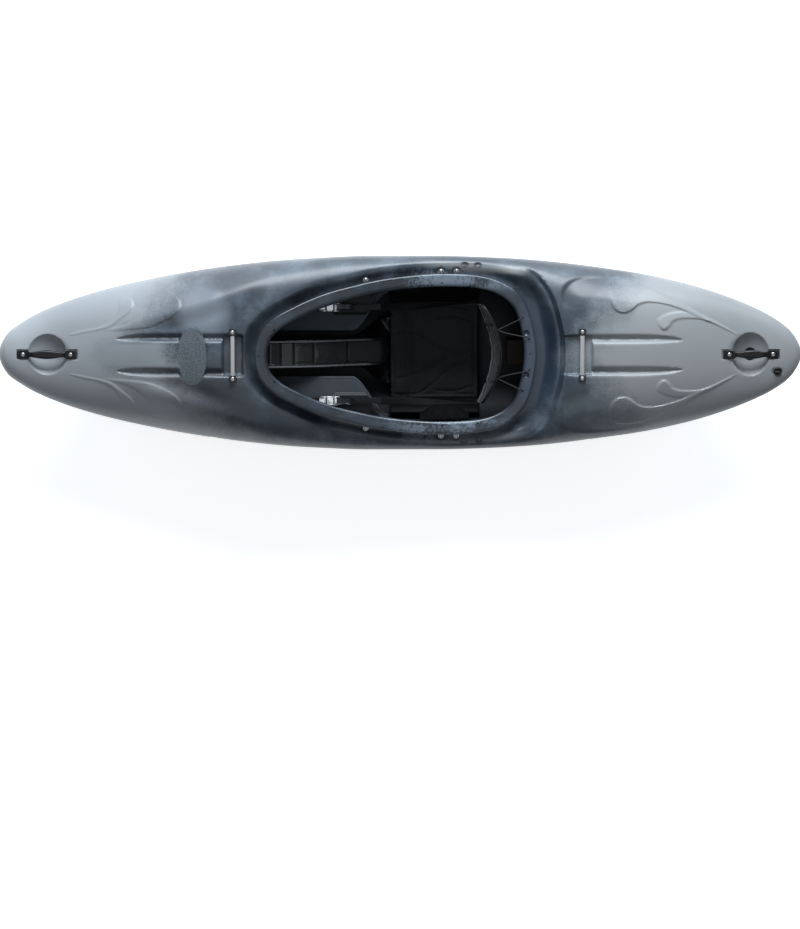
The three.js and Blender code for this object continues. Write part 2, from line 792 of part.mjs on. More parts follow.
function handle(frame) {
  const surface = (lift) => (u, v) => {
    const x = (u - 1 / 2) * frame.length;
    const inward = Math.min(u, 1 - u) * frame.length;
    const foot = clamp(inward / handle_foot - handle_neck_share, 0, 1);
    const rise = handle_rise * ease(foot);
    const half = handle_grip_width / 2 * along(handle_width_shares, 2 * Math.min(u, 1 - u));
    const crown = lift * (mix(handle_thickness / 2, handle_thickness, ease(foot))
      - handle_ridge * 2 * Math.abs(2 * v - 1) ** 4 + handle_ridge * Math.sin(2 * half_turn * v) ** 2);
    return [x, (2 * v - 1) * half, seat_gap + rise + crown];
  };
  const bar = toSolid(slab(...handle_grid_counts, surface(1), surface(0)));
  const holes = [-1, 1].map((end) => {
    const hole = boltHole(handle_thickness);
    hole.translate(end * frame.reach, 0, 0);
    return hole;
  });
  const seats = [-1, 1].map((end) => {
    const level = seat_gap + handle_thickness / 2;
    return post(bolt_head + 2 * bolt_clearance, cut_overrun, end * frame.reach, 0, level);
  });
  return onDeck(fromSolid(cut(bar, [...holes, ...seats])), frame);
}

function handleBed(frame, end) {
  const length = handle_foot + 2 * bolt_clearance;
  const geometry = box(length, handle_bed_width, cut_overrun, end * frame.reach, 0, cut_overrun / 2);
  return onDeck(geometry, frame);
}

function handleBolt(frame, end) {
  const geometry = boltShape(bolt_length);
  geometry.translate(end * frame.reach, 0, 2 * seat_gap + handle_thickness / 2);
  return onDeck(geometry, frame);
}

function handleBoltHole(frame, end) {
  const geometry = boltHole(bolt_length);
  geometry.translate(end * frame.reach, 0, 0);
  return onDeck(geometry, frame);
}

const bow_frame = handleFrame(bow_handle_share, bow_handle_length);
const stern_frame = handleFrame(stern_handle_share, stern_handle_length);
const handleCuts = [bow_frame, stern_frame].flatMap((frame) => [-1, 1].flatMap((end) => [
  handleBed(frame, end),
  handleBoltHole(frame, end),
]));

// Security bars
function barShape(x, z) {
  const half = bar_length / 2;
  const round = bar_width / 2;
  const shape = new THREE.Shape();
  shape.absarc(0, half - round, round, 0, half_turn, false);
  shape.absarc(0, -half + round, round, half_turn, 2 * half_turn, false);
  shape.closePath();
  for (const side of [-1, 1]) {
    const hole = new THREE.Path();
    hole.absarc(0, side * bar_hole_spacing / 2, bolt_shank / 2 + bolt_clearance, 0, 2 * half_turn, true);
    shape.holes.push(hole);
  }
  const geometry = new THREE.ExtrudeGeometry(shape, {
    depth: bar_thickness, bevelEnabled: false, curveSegments: bar_curve_count,
  });
  geometry.translate(x, 0, z);
  return geometry;
}

const bar_edge = bar_hole_spacing / 2 + bar_pad_size / 2;
const bedLevel = (x) => deckZ(x, bar_edge) - bolt_clearance;

function barBed(x, side) {
  const level = bedLevel(x);
  const [near, far] = [bar_flat_width / 2 - bolt_clearance, bar_length / 2 + bolt_clearance];
  const length = bar_pad_size + 2 * bolt_clearance;
  return box(length, far - near, cut_overrun, x, side * (near + far) / 2, level + cut_overrun / 2);
}

function barBoltHole(x, side) {
  const geometry = boltHole(bolt_length);
  geometry.translate(x, side * bar_hole_spacing / 2, bedLevel(x));
  return geometry;
}

const barCuts = [front_bar_x, rear_bar_x].flatMap((x) => [-1, 1].flatMap((side) => [
  barBed(x, side),
  barBoltHole(x, side),
]));

function barPad(x, side) {
  const z = bedLevel(x) + seat_gap + bar_pad_height / 2;
  const pad = box(bar_pad_size, bar_pad_size, bar_pad_height, x, side * bar_hole_spacing / 2, z);
  const hole = boltHole(bolt_length);
  hole.translate(x, side * bar_hole_spacing / 2, z);
  return fromSolid(cut(toSolid(pad), [hole]));
}

function barScrew(x, side, stand) {
  const geometry = boltShape(bolt_length);
  geometry.translate(x, side * bar_hole_spacing / 2, bedLevel(x) + stand + bar_thickness + seat_gap);
  return geometry;
}

// Drain plug, laid out along Z from the deck surface and tilted outwards to port
const drain_x = at(drain_share);
const drain_z = deckZ(drain_x, drain_offset);

function onDrain(geometry) {
  geometry.rotateX(drain_tilt_deg * degree);
  geometry.translate(drain_x, -drain_offset, drain_z);
  return geometry;
}

const drain_seat = drain_gasket_height + 2 * seat_gap - drain_bed;

function drainCuts() {
  const bed = post(drain_plug_diameter + 2 * drain_bed, cut_overrun, 0, 0, -drain_bed, drain_side_count);
  const bore = drain_thread + 2 * drain_play;
  const hole = post(bore, drain_hole_depth, 0, 0, -drain_hole_depth, drain_side_count);
  return [onDrain(bed), onDrain(hole)];
}

function drainPlug() {
  const [outer, inner] = [drain_plug_diameter / 2, drain_thread / 2];
  const profile = [
    [0, drain_seat - drain_gasket_height - drain_thread_length],
    [inner, drain_seat - drain_gasket_height - drain_thread_length],
    [inner, drain_seat], [outer, drain_seat], [outer, drain_seat + drain_plug_height * drain_rim_share],
    [outer * drain_crown_share, drain_seat + drain_plug_height], [0, drain_seat + drain_plug_height],
  ];
  const disc = new THREE.LatheGeometry(profile.map(([r, z]) => new THREE.Vector2(r, z)), drain_side_count);
  disc.rotateX(half_turn / 2);
  const grip_length = drain_plug_diameter * drain_grip_share;
  const grip = box(grip_length, drain_grip_width, drain_grip_height * 2, 0, 0, drain_seat + drain_plug_height);
  return onDrain(fromSolid(toSolid(disc).add(toSolid(grip))));
}

function drainGasket() {
  const [outer, inner] = [drain_gasket_diameter / 2, drain_thread / 2 + drain_play];
  const low = seat_gap - drain_bed;
  const high = low + drain_gasket_height;
  const profile = [[inner, low], [outer, low], [outer, high], [inner, high], [inner, low]];
  const ring = new THREE.LatheGeometry(profile.map(([r, z]) => new THREE.Vector2(r, z)), drain_side_count);
  ring.rotateX(half_turn / 2);
  return onDrain(ring);
}

// Bolts through the moat floor
const ceilingZ = (x, y) => {
  const ring = section(x, hull_wall, cavityTopZ(x));
  const arch = ring.slice(lower_curve_shares.length + side_curve_shares.length + 1, ring.length / 2 + 1);
  return along(arch.map((point) => [point[1], point[2]]).reverse(), Math.abs(y));
};

const brace_bolt_x = at(brace_bolt_share);
const seat_bolt_x = at(seat_bolt_share);
const moatBolts = [
  { name: 'thigh_brace_bolt', x: brace_bolt_x, y: brace_bolt_offset },
  { name: 'seat_bolt_front', x: seat_bolt_x - seat_bolt_spacing / 2, y: seat_bolt_offset },
  { name: 'seat_bolt_rear', x: seat_bolt_x + seat_bolt_spacing / 2, y: seat_bolt_offset },
];
const spotZ = (x) => Math.min(moatZ(x - spot_face / 2), moatZ(x + spot_face / 2)) - spot_face_depth;

const moatBoltCuts = moatBolts.flatMap(({ x, y }) => [-1, 1].flatMap((side) => {
  const hole = boltHole(moat_bolt_length);
  hole.translate(x, side * y, spotZ(x));
  return [post(spot_face, cut_overrun, x, side * y, spotZ(x)), hole];
}));

function moatBolt({ x, y }, side) {
  const geometry = boltShape(moat_bolt_length);
  geometry.translate(x, side * y, spotZ(x) + seat_gap);
  return geometry;
}

// Side bolts lie square to the flare of the hull side
const side_bolt_x = at(side_bolt_share);
const side_lean = Math.atan2(
  sideY(side_bolt_x, sheerZ(side_bolt_x), 0) - sideY(side_bolt_x, side_bolt_height, 0),
  sheerZ(side_bolt_x) - side_bolt_height,
);

function onSide(geometry, x, side) {
  geometry.rotateX(-side * (half_turn / 2 + side_lean));
  geometry.translate(x, side * sideY(x, side_bolt_height, 0), side_bolt_height);
  return geometry;
}

const sideBoltPlaces = [-1, 1].map((end) => side_bolt_x + end * side_bolt_spacing / 2);
const sideBoltHole = (x, side) => onSide(boltHole(bolt_length), x, side);
const sideBoltCuts = sideBoltPlaces.flatMap((x) => [-1, 1].flatMap((side) => [
  onSide(post(spot_face, cut_overrun, 0, 0, 0), x, side),
  sideBoltHole(x, side),
]));

function sideBolt(x, side) {
  const geometry = boltShape(bolt_length);
  geometry.translate(0, 0, seat_gap);
  return onSide(geometry, x, side);
}

// Holes for the backband cords, through the rear of the rim
const cordEnds = [
  { x: at(cord_outer_share), y: cord_outer_offset },
  { x: at(cord_inner_share), y: cord_inner_offset },
];
const cordHoles = cordEnds.flatMap(({ x, y }) => [-1, 1].map((side) => {
  const low = rimZ(x) - coaming_height;
  return post(cord_hole, coaming_height + cut_overrun, x, side * y, low, cord_side_count);
}));

function hullShell() {
  const cuts = [
    moat(),
    flatLow(front_bar_x, front_flat_length, front_flat_level_share),
    flatLow(rear_bar_x - rear_flat_setback, rear_flat_length, rear_flat_level_share),
    bowl(at(bow_handle_share), bow_bowl_length, bow_bowl_width),
    bowl(at(stern_handle_share), stern_bowl_length, stern_bowl_width),
    ...deckGrooves, ...handleCuts, ...barCuts, ...drainCuts(), ...moatBoltCuts, ...sideBoltCuts,
    hollow(), keyhole(),
  ];
  const deck = cut(toSolid(outerSkin()), cuts);
  return fromSolid(cut(deck.add(toSolid(coaming())), cordHoles));
}

add('hull_shell', hullShell(), finishes.shell);
for (const [name, frame] of [['bow_handle', bow_frame], ['stern_handle', stern_frame]]) {
  add(name, handle(frame), finishes.black);
  add(`${name}_bolt_front`, handleBolt(frame, -1), finishes.steel);
  add(`${name}_bolt_rear`, handleBolt(frame, 1), finishes.steel);
}
const pad_stand = seat_gap + bar_pad_height;
for (const [name, x, stand] of [['front', front_bar_x, pad_stand], ['rear', rear_bar_x, 0]]) {
  add(`${name}_security_bar`, barShape(x, bedLevel(x) + stand + seat_gap), finishes.steel);
  for (const [word, side] of [['left', -1], ['right', 1]]) {
    if (stand > 0) add(`${name}_bar_pad_${word}`, barPad(x, side), finishes.black);
    add(`${name}_bar_screw_${word}`, barScrew(x, side, stand + seat_gap), finishes.steel);
  }
}
add('drain_plug', drainPlug(), finishes.black);
add('drain_gasket', drainGasket(), finishes.rubber);
for (const [word, side] of [['left', -1], ['right', 1]]) {
  for (const bolt of moatBolts) add(`${bolt.name}_${word}`, moatBolt(bolt, side), finishes.steel);
  sideBoltPlaces.forEach((x, i) => {
    add(`rail_bolt_${i === 0 ? 'front' : 'rear'}_${word}`, sideBolt(x, side), finishes.steel);
  });
}

// Foam pillars stand on the hull floor under the deck
function pillar(table, width) {
  const rings = table.map(([share, top_share]) => {
    const x = at(share);
    const low = keelZ(x) + hull_wall + pillar_gap;
    const high = Math.min(hull_height * top_share, ceilingZ(x, width / 2) - pillar_gap);
    const half = width / 2;
    return [[x, -half, low], [x, half, low], [x, half, high], [x, -half, high]];
  });
  return loft(rings);
}

// The front pillar's top is a tray: its sides rise into rims as far as the deck lets them
function frontPillar() {
  const half = front_pillar_width / 2;
  const last = front_pillar_shares.length - 1;
  const surface = (onTop) => (u, v) => {
    const [share, top_share] = front_pillar_shares[Math.round(u * last)];
    const x = at(share);
    const y = half * (2 * v - 1);
    if (!onTop) return [x, y, keelZ(x) + hull_wall + pillar_gap];
    const inward = half - Math.abs(y);
    const rim = front_pillar_rim_height * clamp(2 - inward / front_pillar_rim_width, 0, 1);
    const ceiling = ceilingZ(x, half) - pillar_gap;
    return [x, y, Math.min(hull_height * top_share + rim, ceiling)];
  };
  return slab(last, front_pillar_row_count, surface(true), surface(false));
}

// Seat hanger: a side plate from the seat's edge up to a flange under the coaming
const flangeY = seat_bolt_offset + bolt_head / 2;
const flangeZ = ceilingZ(seat_bolt_x + hanger_length / 2, flangeY) - seat_gap;
const flange_inner = flangeY - hanger_flange;

function seatHanger(side) {
  const outline = [
    [flangeY, flangeZ], [flange_inner, flangeZ], [hanger_waist, hanger_waist_height],
    [hanger_foot, hanger_foot_height], [hanger_foot + hanger_thickness, hanger_foot_height],
    [hanger_waist + hanger_thickness, hanger_waist_height],
    [flange_inner + hanger_thickness, flangeZ - hanger_thickness], [flangeY, flangeZ - hanger_thickness],
  ];
  const start = seat_bolt_x - hanger_length / 2;
  const plate = barAlong(outline.map(([y, z]) => [side * y, z]), hanger_length, start);
  const holes = moatBolts.slice(1).map(({ x, y }) => {
    const hole = boltHole(moat_bolt_length);
    hole.translate(x, side * y, flangeZ);
    return hole;
  });
  return fromSolid(cut(toSolid(plate), holes));
}

// Inner face of the hanger at a height
function hangerY(z) {
  const lower = hanger_waist_height - hanger_foot_height;
  if (z < hanger_waist_height) return mix(hanger_foot, hanger_waist, (z - hanger_foot_height) / lower);
  return mix(hanger_waist, flange_inner, (z - hanger_waist_height) / (flangeZ - hanger_waist_height));
}

// Seat pan: a dished shell with a raised front lip, rear edge and sides
const seat_front = at(seat_front_share);
const seat_edge_z = seat_floor_height + seat_side_rise - seat_wall;
const seat_half = hangerY(seat_edge_z) - seat_gap;

function seatZ(u, v) {
  const across = Math.abs(2 * v - 1);
  const side = seat_side_rise * ease(clamp((across - seat_side_share) / (1 - seat_side_share), 0, 1));
  const lip = seat_lip_rise * ease(clamp(1 - 3 * u, 0, 1));
  const rear = seat_rear_rise * ease(clamp(3 * u - 2, 0, 1));
  return seat_floor_height + Math.max(side, lip * (1 - across ** 4), rear);
}

function seatPan() {
  const surface = (drop) => (u, v) => [
    seat_front + seat_length * u,
    (2 * v - 1) * seat_half,
    seatZ(u, v) - drop,
  ];
  return slab(seat_column_count, seat_row_count, surface(0), surface(seat_wall));
}

function seatCover() {
  const surface = (lift) => (u, v) => {
    const pan_u = u * (1 - 1 / seat_column_count);
    const pan_v = (v - 1 / 2) * seat_cover_row_count / seat_row_count + 1 / 2;
    const crown = ease(clamp(5 * Math.min(u, 1 - u, v, 1 - v), 0, 1));
    const thick = mix(seat_cover_edge, seat_cover_thickness, crown);
    return [
      seat_front + seat_length * pan_u,
      (2 * pan_v - 1) * seat_half,
      seatZ(pan_u, pan_v) + seat_gap + lift * thick,
    ];
  };
  return slab(seat_column_count - 1, seat_cover_row_count, surface(1), surface(0));
}

function hipPad(side) {
  const middle = seat_bolt_x - hip_pad_lead;
  const surface = (depth) => (u, v) => {
    const z = v < 1 / 2
      ? mix(hip_pad_low, hanger_waist_height, 2 * v)
      : mix(hanger_waist_height, hip_pad_high, 2 * v - 1);
    const crown = ease(clamp(4 * Math.min(u, 1 - u, v, 1 - v), 0, 1));
    const thick = depth * mix(hip_pad_edge, hip_pad_thickness, crown);
    return [middle + (u - 1 / 2) * hip_pad_length, side * (hangerY(z) - seat_gap - thick), z];
  };
  return slab(...hip_pad_grid_counts, surface(0), surface(1));
}

// Backband: a curved shell with a pad in front of it
const backband_rear = at(backband_rear_share);
const bandX = (y, v) => (
  backband_rear - backband_depth * (2 * y / backband_width) ** 2 - backband_tuck * (1 - v)
);

function bandSurface(step) {
  return (u, v) => {
    const half = backband_width / 2;
    const y = mix(-half, half, u);
    const near = 1 - (y / half) ** 2;
    const middle = (backband_low + backband_high) / 2;
    const tall = mix(backband_end_height, backband_high - backband_low, Math.sqrt(near));
    const spare = backband_high - backband_end_height - backband_low;
    const drop = (1 - Math.sqrt(near)) * spare * backband_droop_share;
    const crown = ease(clamp(4 * Math.min(u, 1 - u, v, 1 - v), 0, 1));
    return [bandX(y, v) - step(crown), y, middle - drop + tall * (v - 1 / 2)];
  };
}

function backbandFrame() {
  return slab(...backband_grid_counts, bandSurface(() => 0), bandSurface(() => backband_shell));
}

function backbandPad() {
  const stand = backband_shell + seat_gap;
  const front = (crown) => stand + mix(backband_pad_edge, backband_pad_thickness, crown);
  return slab(...backband_grid_counts, bandSurface(() => stand), bandSurface(front));
}

// Thigh brace: a plate under the coaming side, hooked down along its inner edge
const brace_front = at(brace_front_share);
const brace_rear = at(brace_rear_share);
const brace_level = ceilingZ(brace_rear, brace_outer) - 2 * seat_gap;
const braceBossTop = Math.min(
  ceilingZ(brace_bolt_x + brace_boss / 2, brace_bolt_offset + brace_boss / 2),
  ceilingZ(brace_bolt_x - brace_boss / 2, brace_bolt_offset + brace_boss / 2),
) - seat_gap;

function thighBrace(side) {
  const surface = (drop) => (u, v) => {
    const taper = ease(clamp(4 * Math.min(u, 1 - u), 0, 1));
    const inner = mix(brace_outer - brace_boss * 2, brace_inner, taper);
    const y = mix(brace_outer, inner, v);
    const hook = brace_hook * ease(clamp(1 - (y - brace_inner) / brace_hook_width, 0, 1));
    return [mix(brace_front, brace_rear, u), side * y, brace_level - hook - drop];
  };
  const plate = toSolid(slab(...brace_grid_counts, surface(0), surface(brace_thickness)));
  const boss_height = braceBossTop - brace_level + brace_thickness / 2;
  const boss_low = brace_level - brace_thickness / 2;
  const boss = post(brace_boss, boss_height, brace_bolt_x, side * brace_bolt_offset, boss_low);
  const hole = boltHole(moat_bolt_length);
  hole.translate(brace_bolt_x, side * brace_bolt_offset, braceBossTop);
  return fromSolid(cut(plate.add(toSolid(boss)), [hole]));
}

function thighPad(side) {
  const top = brace_level - brace_thickness - brace_hook - seat_gap;
  const [front, rear] = [at(thigh_pad_front_share), at(thigh_pad_rear_share)];
  const surface = (drop) => (u, v) => {
    const turn = ease(clamp((u - thigh_pad_curve_share) / (1 - thigh_pad_curve_share), 0, 1));
    const inner = mix(thigh_pad_inner, thigh_pad_rear_inner, turn);
    const y = mix(brace_bolt_offset - brace_boss, inner, v);
    return [mix(front, rear, u), side * y, top - drop];
  };
  return slab(...thigh_pad_grid_counts, surface(0), surface(thigh_pad_thickness));
}

// Ratchet buckle on the brace: a floor with two cheeks and two pins, a lever and a release
const ratchet_x = at(ratchet_share);
const ratchet_z = brace_level + seat_gap;
const lever_pin_x = ratchet_x + ratchet_length / 2 - ratchet_pin_inset;
const release_pin_x = ratchet_x - ratchet_length / 2 + ratchet_pin_inset;
const pin_z = ratchet_z + ratchet_pin_height;
const ladder_z = ratchet_z + ratchet_floor + ladder_lift;

function pinAcross(diameter, length, x, y, z) {
  const geometry = new THREE.CylinderGeometry(diameter / 2, diameter / 2, length, bolt_side_count);
  geometry.translate(x, y, z);
  return geometry;
}

function ratchetBase(side) {
  const y = side * strap_offset;
  const half = ratchet_width / 2;
  const outline = [
    [-half, 0], [half, 0], [half, ratchet_cheek], [half - ratchet_wall, ratchet_cheek],
    [half - ratchet_wall, ratchet_floor], [-half + ratchet_wall, ratchet_floor],
    [-half + ratchet_wall, ratchet_cheek], [-half, ratchet_cheek],
  ].map(([across, up]) => [y + across, ratchet_z + up]);
  const channel = toSolid(barAlong(outline, ratchet_length, ratchet_x - ratchet_length / 2));
  const pin_length = ratchet_width - ratchet_wall;
  const pins = [lever_pin_x, release_pin_x].map((x) => pinAcross(ratchet_pin, pin_length, x, y, pin_z));
  return fromSolid(pins.reduce((left, pin) => left.add(toSolid(pin)), channel));
}

// Arm with a round boss on its pin, pointing along X
function arm(outline, width, boss, x, y) {
  const body = toSolid(plateAcross(outline, width, y));
  const round = toSolid(pinAcross(boss, width, x, y, pin_z));
  const hole = pinAcross(ratchet_pin + 2 * ratchet_play, width + cut_overrun, x, y, pin_z);
  return fromSolid(cut(body.add(round), [hole]));
}

const lever_width = ratchet_width - 2 * ratchet_wall - 2 * ratchet_play;

function ratchetLever(side) {
  const low = pin_z + lever_boss / 2 - lever_thickness;
  const far = lever_pin_x + lever_length;
  const outline = [
    [lever_pin_x, low], [far - lever_boss, low + lever_rise], [far, low + lever_rise + lever_tip_rise],
    [far, low + lever_rise + lever_tip_rise + lever_thickness],
    [far - lever_boss, low + lever_rise + lever_thickness], [lever_pin_x, low + lever_thickness],
  ];
  return arm(outline, lever_width, lever_boss, lever_pin_x, side * strap_offset);
}

function ratchetRelease(side) {
  const low = pin_z + release_boss / 2 - release_thickness;
  const far = release_pin_x - release_length;
  const outline = [
    [release_pin_x, low], [far, low + release_thickness], [far, low + 2 * release_thickness],
    [release_pin_x, low + release_thickness],
  ];
  return arm(outline, lever_width, release_boss, release_pin_x, side * strap_offset);
}

// Ladder strap: flat with square teeth on top, straight through the ratchet
const strap_front = at(strap_front_share);

function ladderStrap(side) {
  const [low, high] = [ladder_z, ladder_z + ladder_thickness - ladder_tooth];
  const front = strap_front - ladder_length;
  const outline = [[strap_front, low], [strap_front, high]];
  const teeth = Math.floor((ladder_length - ladder_width) / ladder_pitch);
  for (const i of range(teeth)) {
    const x = strap_front - ladder_width - i * ladder_pitch;
    const gap = x - ladder_pitch / 2;
    outline.push([x, high], [x, high + ladder_tooth], [gap, high + ladder_tooth], [gap, high]);
  }
  outline.push([front, high], [front, low]);
  return plateAcross(outline.reverse(), ladder_width, side * strap_offset);
}

// Webbing from the ladder strap back to the end of the backband, turned on edge on its way
function backbandStrap(side) {
  const y_end = (backband_width + strap_thickness) / 2 + seat_gap;
  const x_start = strap_front + seat_gap;
  const x_end = bandX(backband_width / 2, 1 / 2);
  const surface = (face) => (u, v) => {
    const turn = ease(u) * half_turn / 2;
    const across = (v - 1 / 2) * strap_width;
    const off = (face - 1 / 2) * strap_thickness;
    const y = mix(strap_offset, y_end, ease(u));
    const z = mix(ladder_z + ladder_thickness / 2, strap_height, ease(u));
    return [
      mix(x_start, x_end, u),
      side * (y + across * Math.cos(turn) - off * Math.sin(turn)),
      z + across * Math.sin(turn) + off * Math.cos(turn),
    ];
  };
  return slab(...strap_grid_counts, surface(0), surface(1));
}

// Elastic cord from one rim hole round a tab on the backband to the other rim hole
const cord_start_offset = backband_width / 2 * cord_start_share;

function backbandCord(side) {
  const start_x = bandX(cord_start_offset, 1) + cord_diameter / 2 + seat_gap;
  const start_z = backband_high - cord_diameter * 4;
  const [outer, inner] = cordEnds;
  const below = rim_thickness + cord_diameter;
  const points = [
    [outer.x, outer.y, rimZ(outer.x) - below],
    [outer.x, outer.y, rimZ(outer.x) + cord_diameter / 2],
    [outer.x - cord_diameter * 2, outer.y - cord_diameter, rimZ(outer.x) + cord_diameter * 1.5],
    [start_x + cord_diameter * 4, cord_start_offset + cord_diameter * 2, start_z],
    [start_x, cord_start_offset, start_z],
    [start_x + cord_diameter * 4, cord_start_offset - cord_diameter * 2, start_z],
    [inner.x - cord_diameter * 2, inner.y + cord_diameter, rimZ(inner.x) + cord_diameter * 1.5],
    [inner.x, inner.y, rimZ(inner.x) + cord_diameter / 2],
    [inner.x, inner.y, rimZ(inner.x) - below],
  ].map(([x, y, z]) => new THREE.Vector3(x, side * y, z));
  const path = new THREE.CatmullRomCurve3(points, false, 'centripetal');
  const ring = new THREE.Shape();
  ring.absarc(0, 0, cord_diameter / 2, 0, 2 * half_turn, false);
  return new THREE.ExtrudeGeometry(ring, {
    steps: cord_step_count, extrudePath: path, bevelEnabled: false, curveSegments: cord_side_count / 2,
  });
}

// Footrest
const footrest_x = at(footrest_share);

function footrestOutline(inset) {
  const half = footrest_width / 2 - inset;
  const [low, high] = [footrest_low + inset, footrest_high - inset];
  const right = footrest_outline_shares.map(([y, z]) => [half * y, mix(low, high, z)]);
  const left = right.map(([y, z]) => [-y, z]).reverse();
  return [...right, ...left];
}

const arm_z = side_bolt_height;
const arm_low = arm_z - arm_height / 2;
const arm_plan_end = footrest_width / 2 - arm_thickness * 2;

function footrestArm(side) {
  const bend = at(arm_bend_share);
  const end = at(arm_end_share);
  const start = footrest_x + footrest_plate_thickness / 2;
  const outline = [
    [start, arm_plan_end], [bend, arm_offset - arm_thickness / 2], [end, arm_offset - arm_thickness / 2],
    [end, arm_offset + arm_thickness / 2], [bend, arm_offset + arm_thickness / 2],
    [start, arm_plan_end + arm_thickness],
  ];
  const shape = new THREE.Shape(outline.map(([x, y]) => new THREE.Vector2(x, side * y)));
  const geometry = new THREE.ExtrudeGeometry(shape, { depth: arm_height, bevelEnabled: false });
  geometry.translate(0, 0, arm_low);
  return geometry;
}

function footrestFrame() {
  const plate = toSolid(barAlong(footrestOutline(0), footrest_plate_thickness, footrest_x));
  return fromSolid(plate.add(toSolid(footrestArm(1))).add(toSolid(footrestArm(-1))));
}

function footrestFoam() {
  const x = footrest_x + footrest_plate_thickness + seat_gap;
  return barAlong(footrestOutline(foam_inset), footrest_foam_thickness, x);
}

// Guide: a block on the hull side with a tunnel for the arm
function footrestGuide(side) {
  const [low, high] = [arm_z - guide_height / 2, arm_z + guide_height / 2];
  const inner = arm_offset - arm_thickness / 2 - guide_play - guide_lip;
  const rings = range(guide_step_count + 1).map((i) => {
    const x = side_bolt_x + (i / guide_step_count - 1 / 2) * guide_length;
    return [
      [x, side * inner, low], [x, side * (insideY(x, low) - seat_gap), low],
      [x, side * (insideY(x, high) - seat_gap), high], [x, side * inner, high],
    ];
  });
  const tunnel = box(
    guide_length + cut_overrun,
    arm_thickness + 2 * guide_play,
    arm_height + 2 * guide_play,
    side_bolt_x,
    side * arm_offset,
    arm_z,
  );
  const holes = sideBoltPlaces.map((x) => sideBoltHole(x, side));
  return fromSolid(cut(toSolid(loft(rings)), [tunnel, ...holes]));
}

add('front_pillar', frontPillar(), finishes.foam);
add('bow_pillar', pillar(bow_pillar_shares, bow_pillar_width), finishes.foam);
add('stern_pillar', pillar(stern_pillar_shares, stern_pillar_width), finishes.foam);
add('seat_pan', seatPan(), finishes.black);
add('seat_cover', seatCover(), finishes.fabric);
add('backband_frame', backbandFrame(), finishes.black);
add('backband_pad', backbandPad(), finishes.fabric);
add('footrest_frame', footrestFrame(), finishes.aluminium);
add('footrest_foam', footrestFoam(), finishes.foam);
for (const [word, side] of [['left', -1], ['right', 1]]) {
  add(`seat_hanger_${word}`, seatHanger(side), finishes.black);
  add(`hip_pad_${word}`, hipPad(side), finishes.fabric);
  add(`thigh_brace_${word}`, thighBrace(side), finishes.black);
  add(`thigh_pad_${word}`, thighPad(side), finishes.foam);
  add(`ratchet_base_${word}`, ratchetBase(side), finishes.chrome);
  add(`ratchet_lever_${word}`, ratchetLever(side), finishes.chrome);
  add(`ratchet_release_${word}`, ratchetRelease(side), finishes.chrome);
  add(`ladder_strap_${word}`, ladderStrap(side), finishes.black);
  add(`backband_strap_${word}`, backbandStrap(side), finishes.fabric);
  add(`backband_cord_${word}`, backbandCord(side), finishes.rubber);
  add(`footrest_guide_${word}`, footrestGuide(side), finishes.black);
}

export default group;
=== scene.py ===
"""Whitewater kayak, seen from above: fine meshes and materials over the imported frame.

Lengths in the tables are millimetres, as in the frame's own drawing, and every mesh is metres.
"""
import math

import bmesh
import bpy
import numpy as np
from mathutils import Matrix, Vector


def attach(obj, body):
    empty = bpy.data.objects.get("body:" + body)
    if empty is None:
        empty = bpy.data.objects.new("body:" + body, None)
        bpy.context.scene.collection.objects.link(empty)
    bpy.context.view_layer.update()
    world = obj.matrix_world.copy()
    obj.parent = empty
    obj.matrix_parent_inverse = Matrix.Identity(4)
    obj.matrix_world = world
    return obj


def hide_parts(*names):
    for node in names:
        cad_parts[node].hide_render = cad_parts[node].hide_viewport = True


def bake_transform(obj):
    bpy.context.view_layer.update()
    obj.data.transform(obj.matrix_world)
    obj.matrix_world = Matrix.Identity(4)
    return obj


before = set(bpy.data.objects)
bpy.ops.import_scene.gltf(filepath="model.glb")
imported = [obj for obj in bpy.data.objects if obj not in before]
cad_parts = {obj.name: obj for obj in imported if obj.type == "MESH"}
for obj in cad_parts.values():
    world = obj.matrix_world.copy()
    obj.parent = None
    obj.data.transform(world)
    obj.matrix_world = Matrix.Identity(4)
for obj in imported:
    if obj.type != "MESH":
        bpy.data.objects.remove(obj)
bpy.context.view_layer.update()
MM = 0.001
TINY = 1e-9
UP = (0, 0, 1)
SIDES = (("left", -1), ("right", 1))


def clamp(value, low=0.0, high=1.0):
    return np.clip(value, low, high)


def mix(a, b, t):
    return a + (b - a) * t


def ease(t):
    t = clamp(t)
    return t * t * (3 - 2 * t)


def soft_min(a, b, blend):
    share = clamp(0.5 + 0.5 * (b - a) / blend)
    return mix(b, a, share) - blend * share * (1 - share)


def soft_max(a, b, blend):
    return -soft_min(-a, -b, blend)


def unit(vectors):
    return vectors / np.linalg.norm(vectors, axis=-1, keepdims=True)


def points_of(x, y, z):
    """Points from three arrays, spread to one shape."""
    return np.stack(np.broadcast_arrays(x, y, z), axis=-1)


def turns(count):
    """Angles once round, evenly spaced."""
    return np.linspace(0, 2 * math.pi, count, endpoint=False)


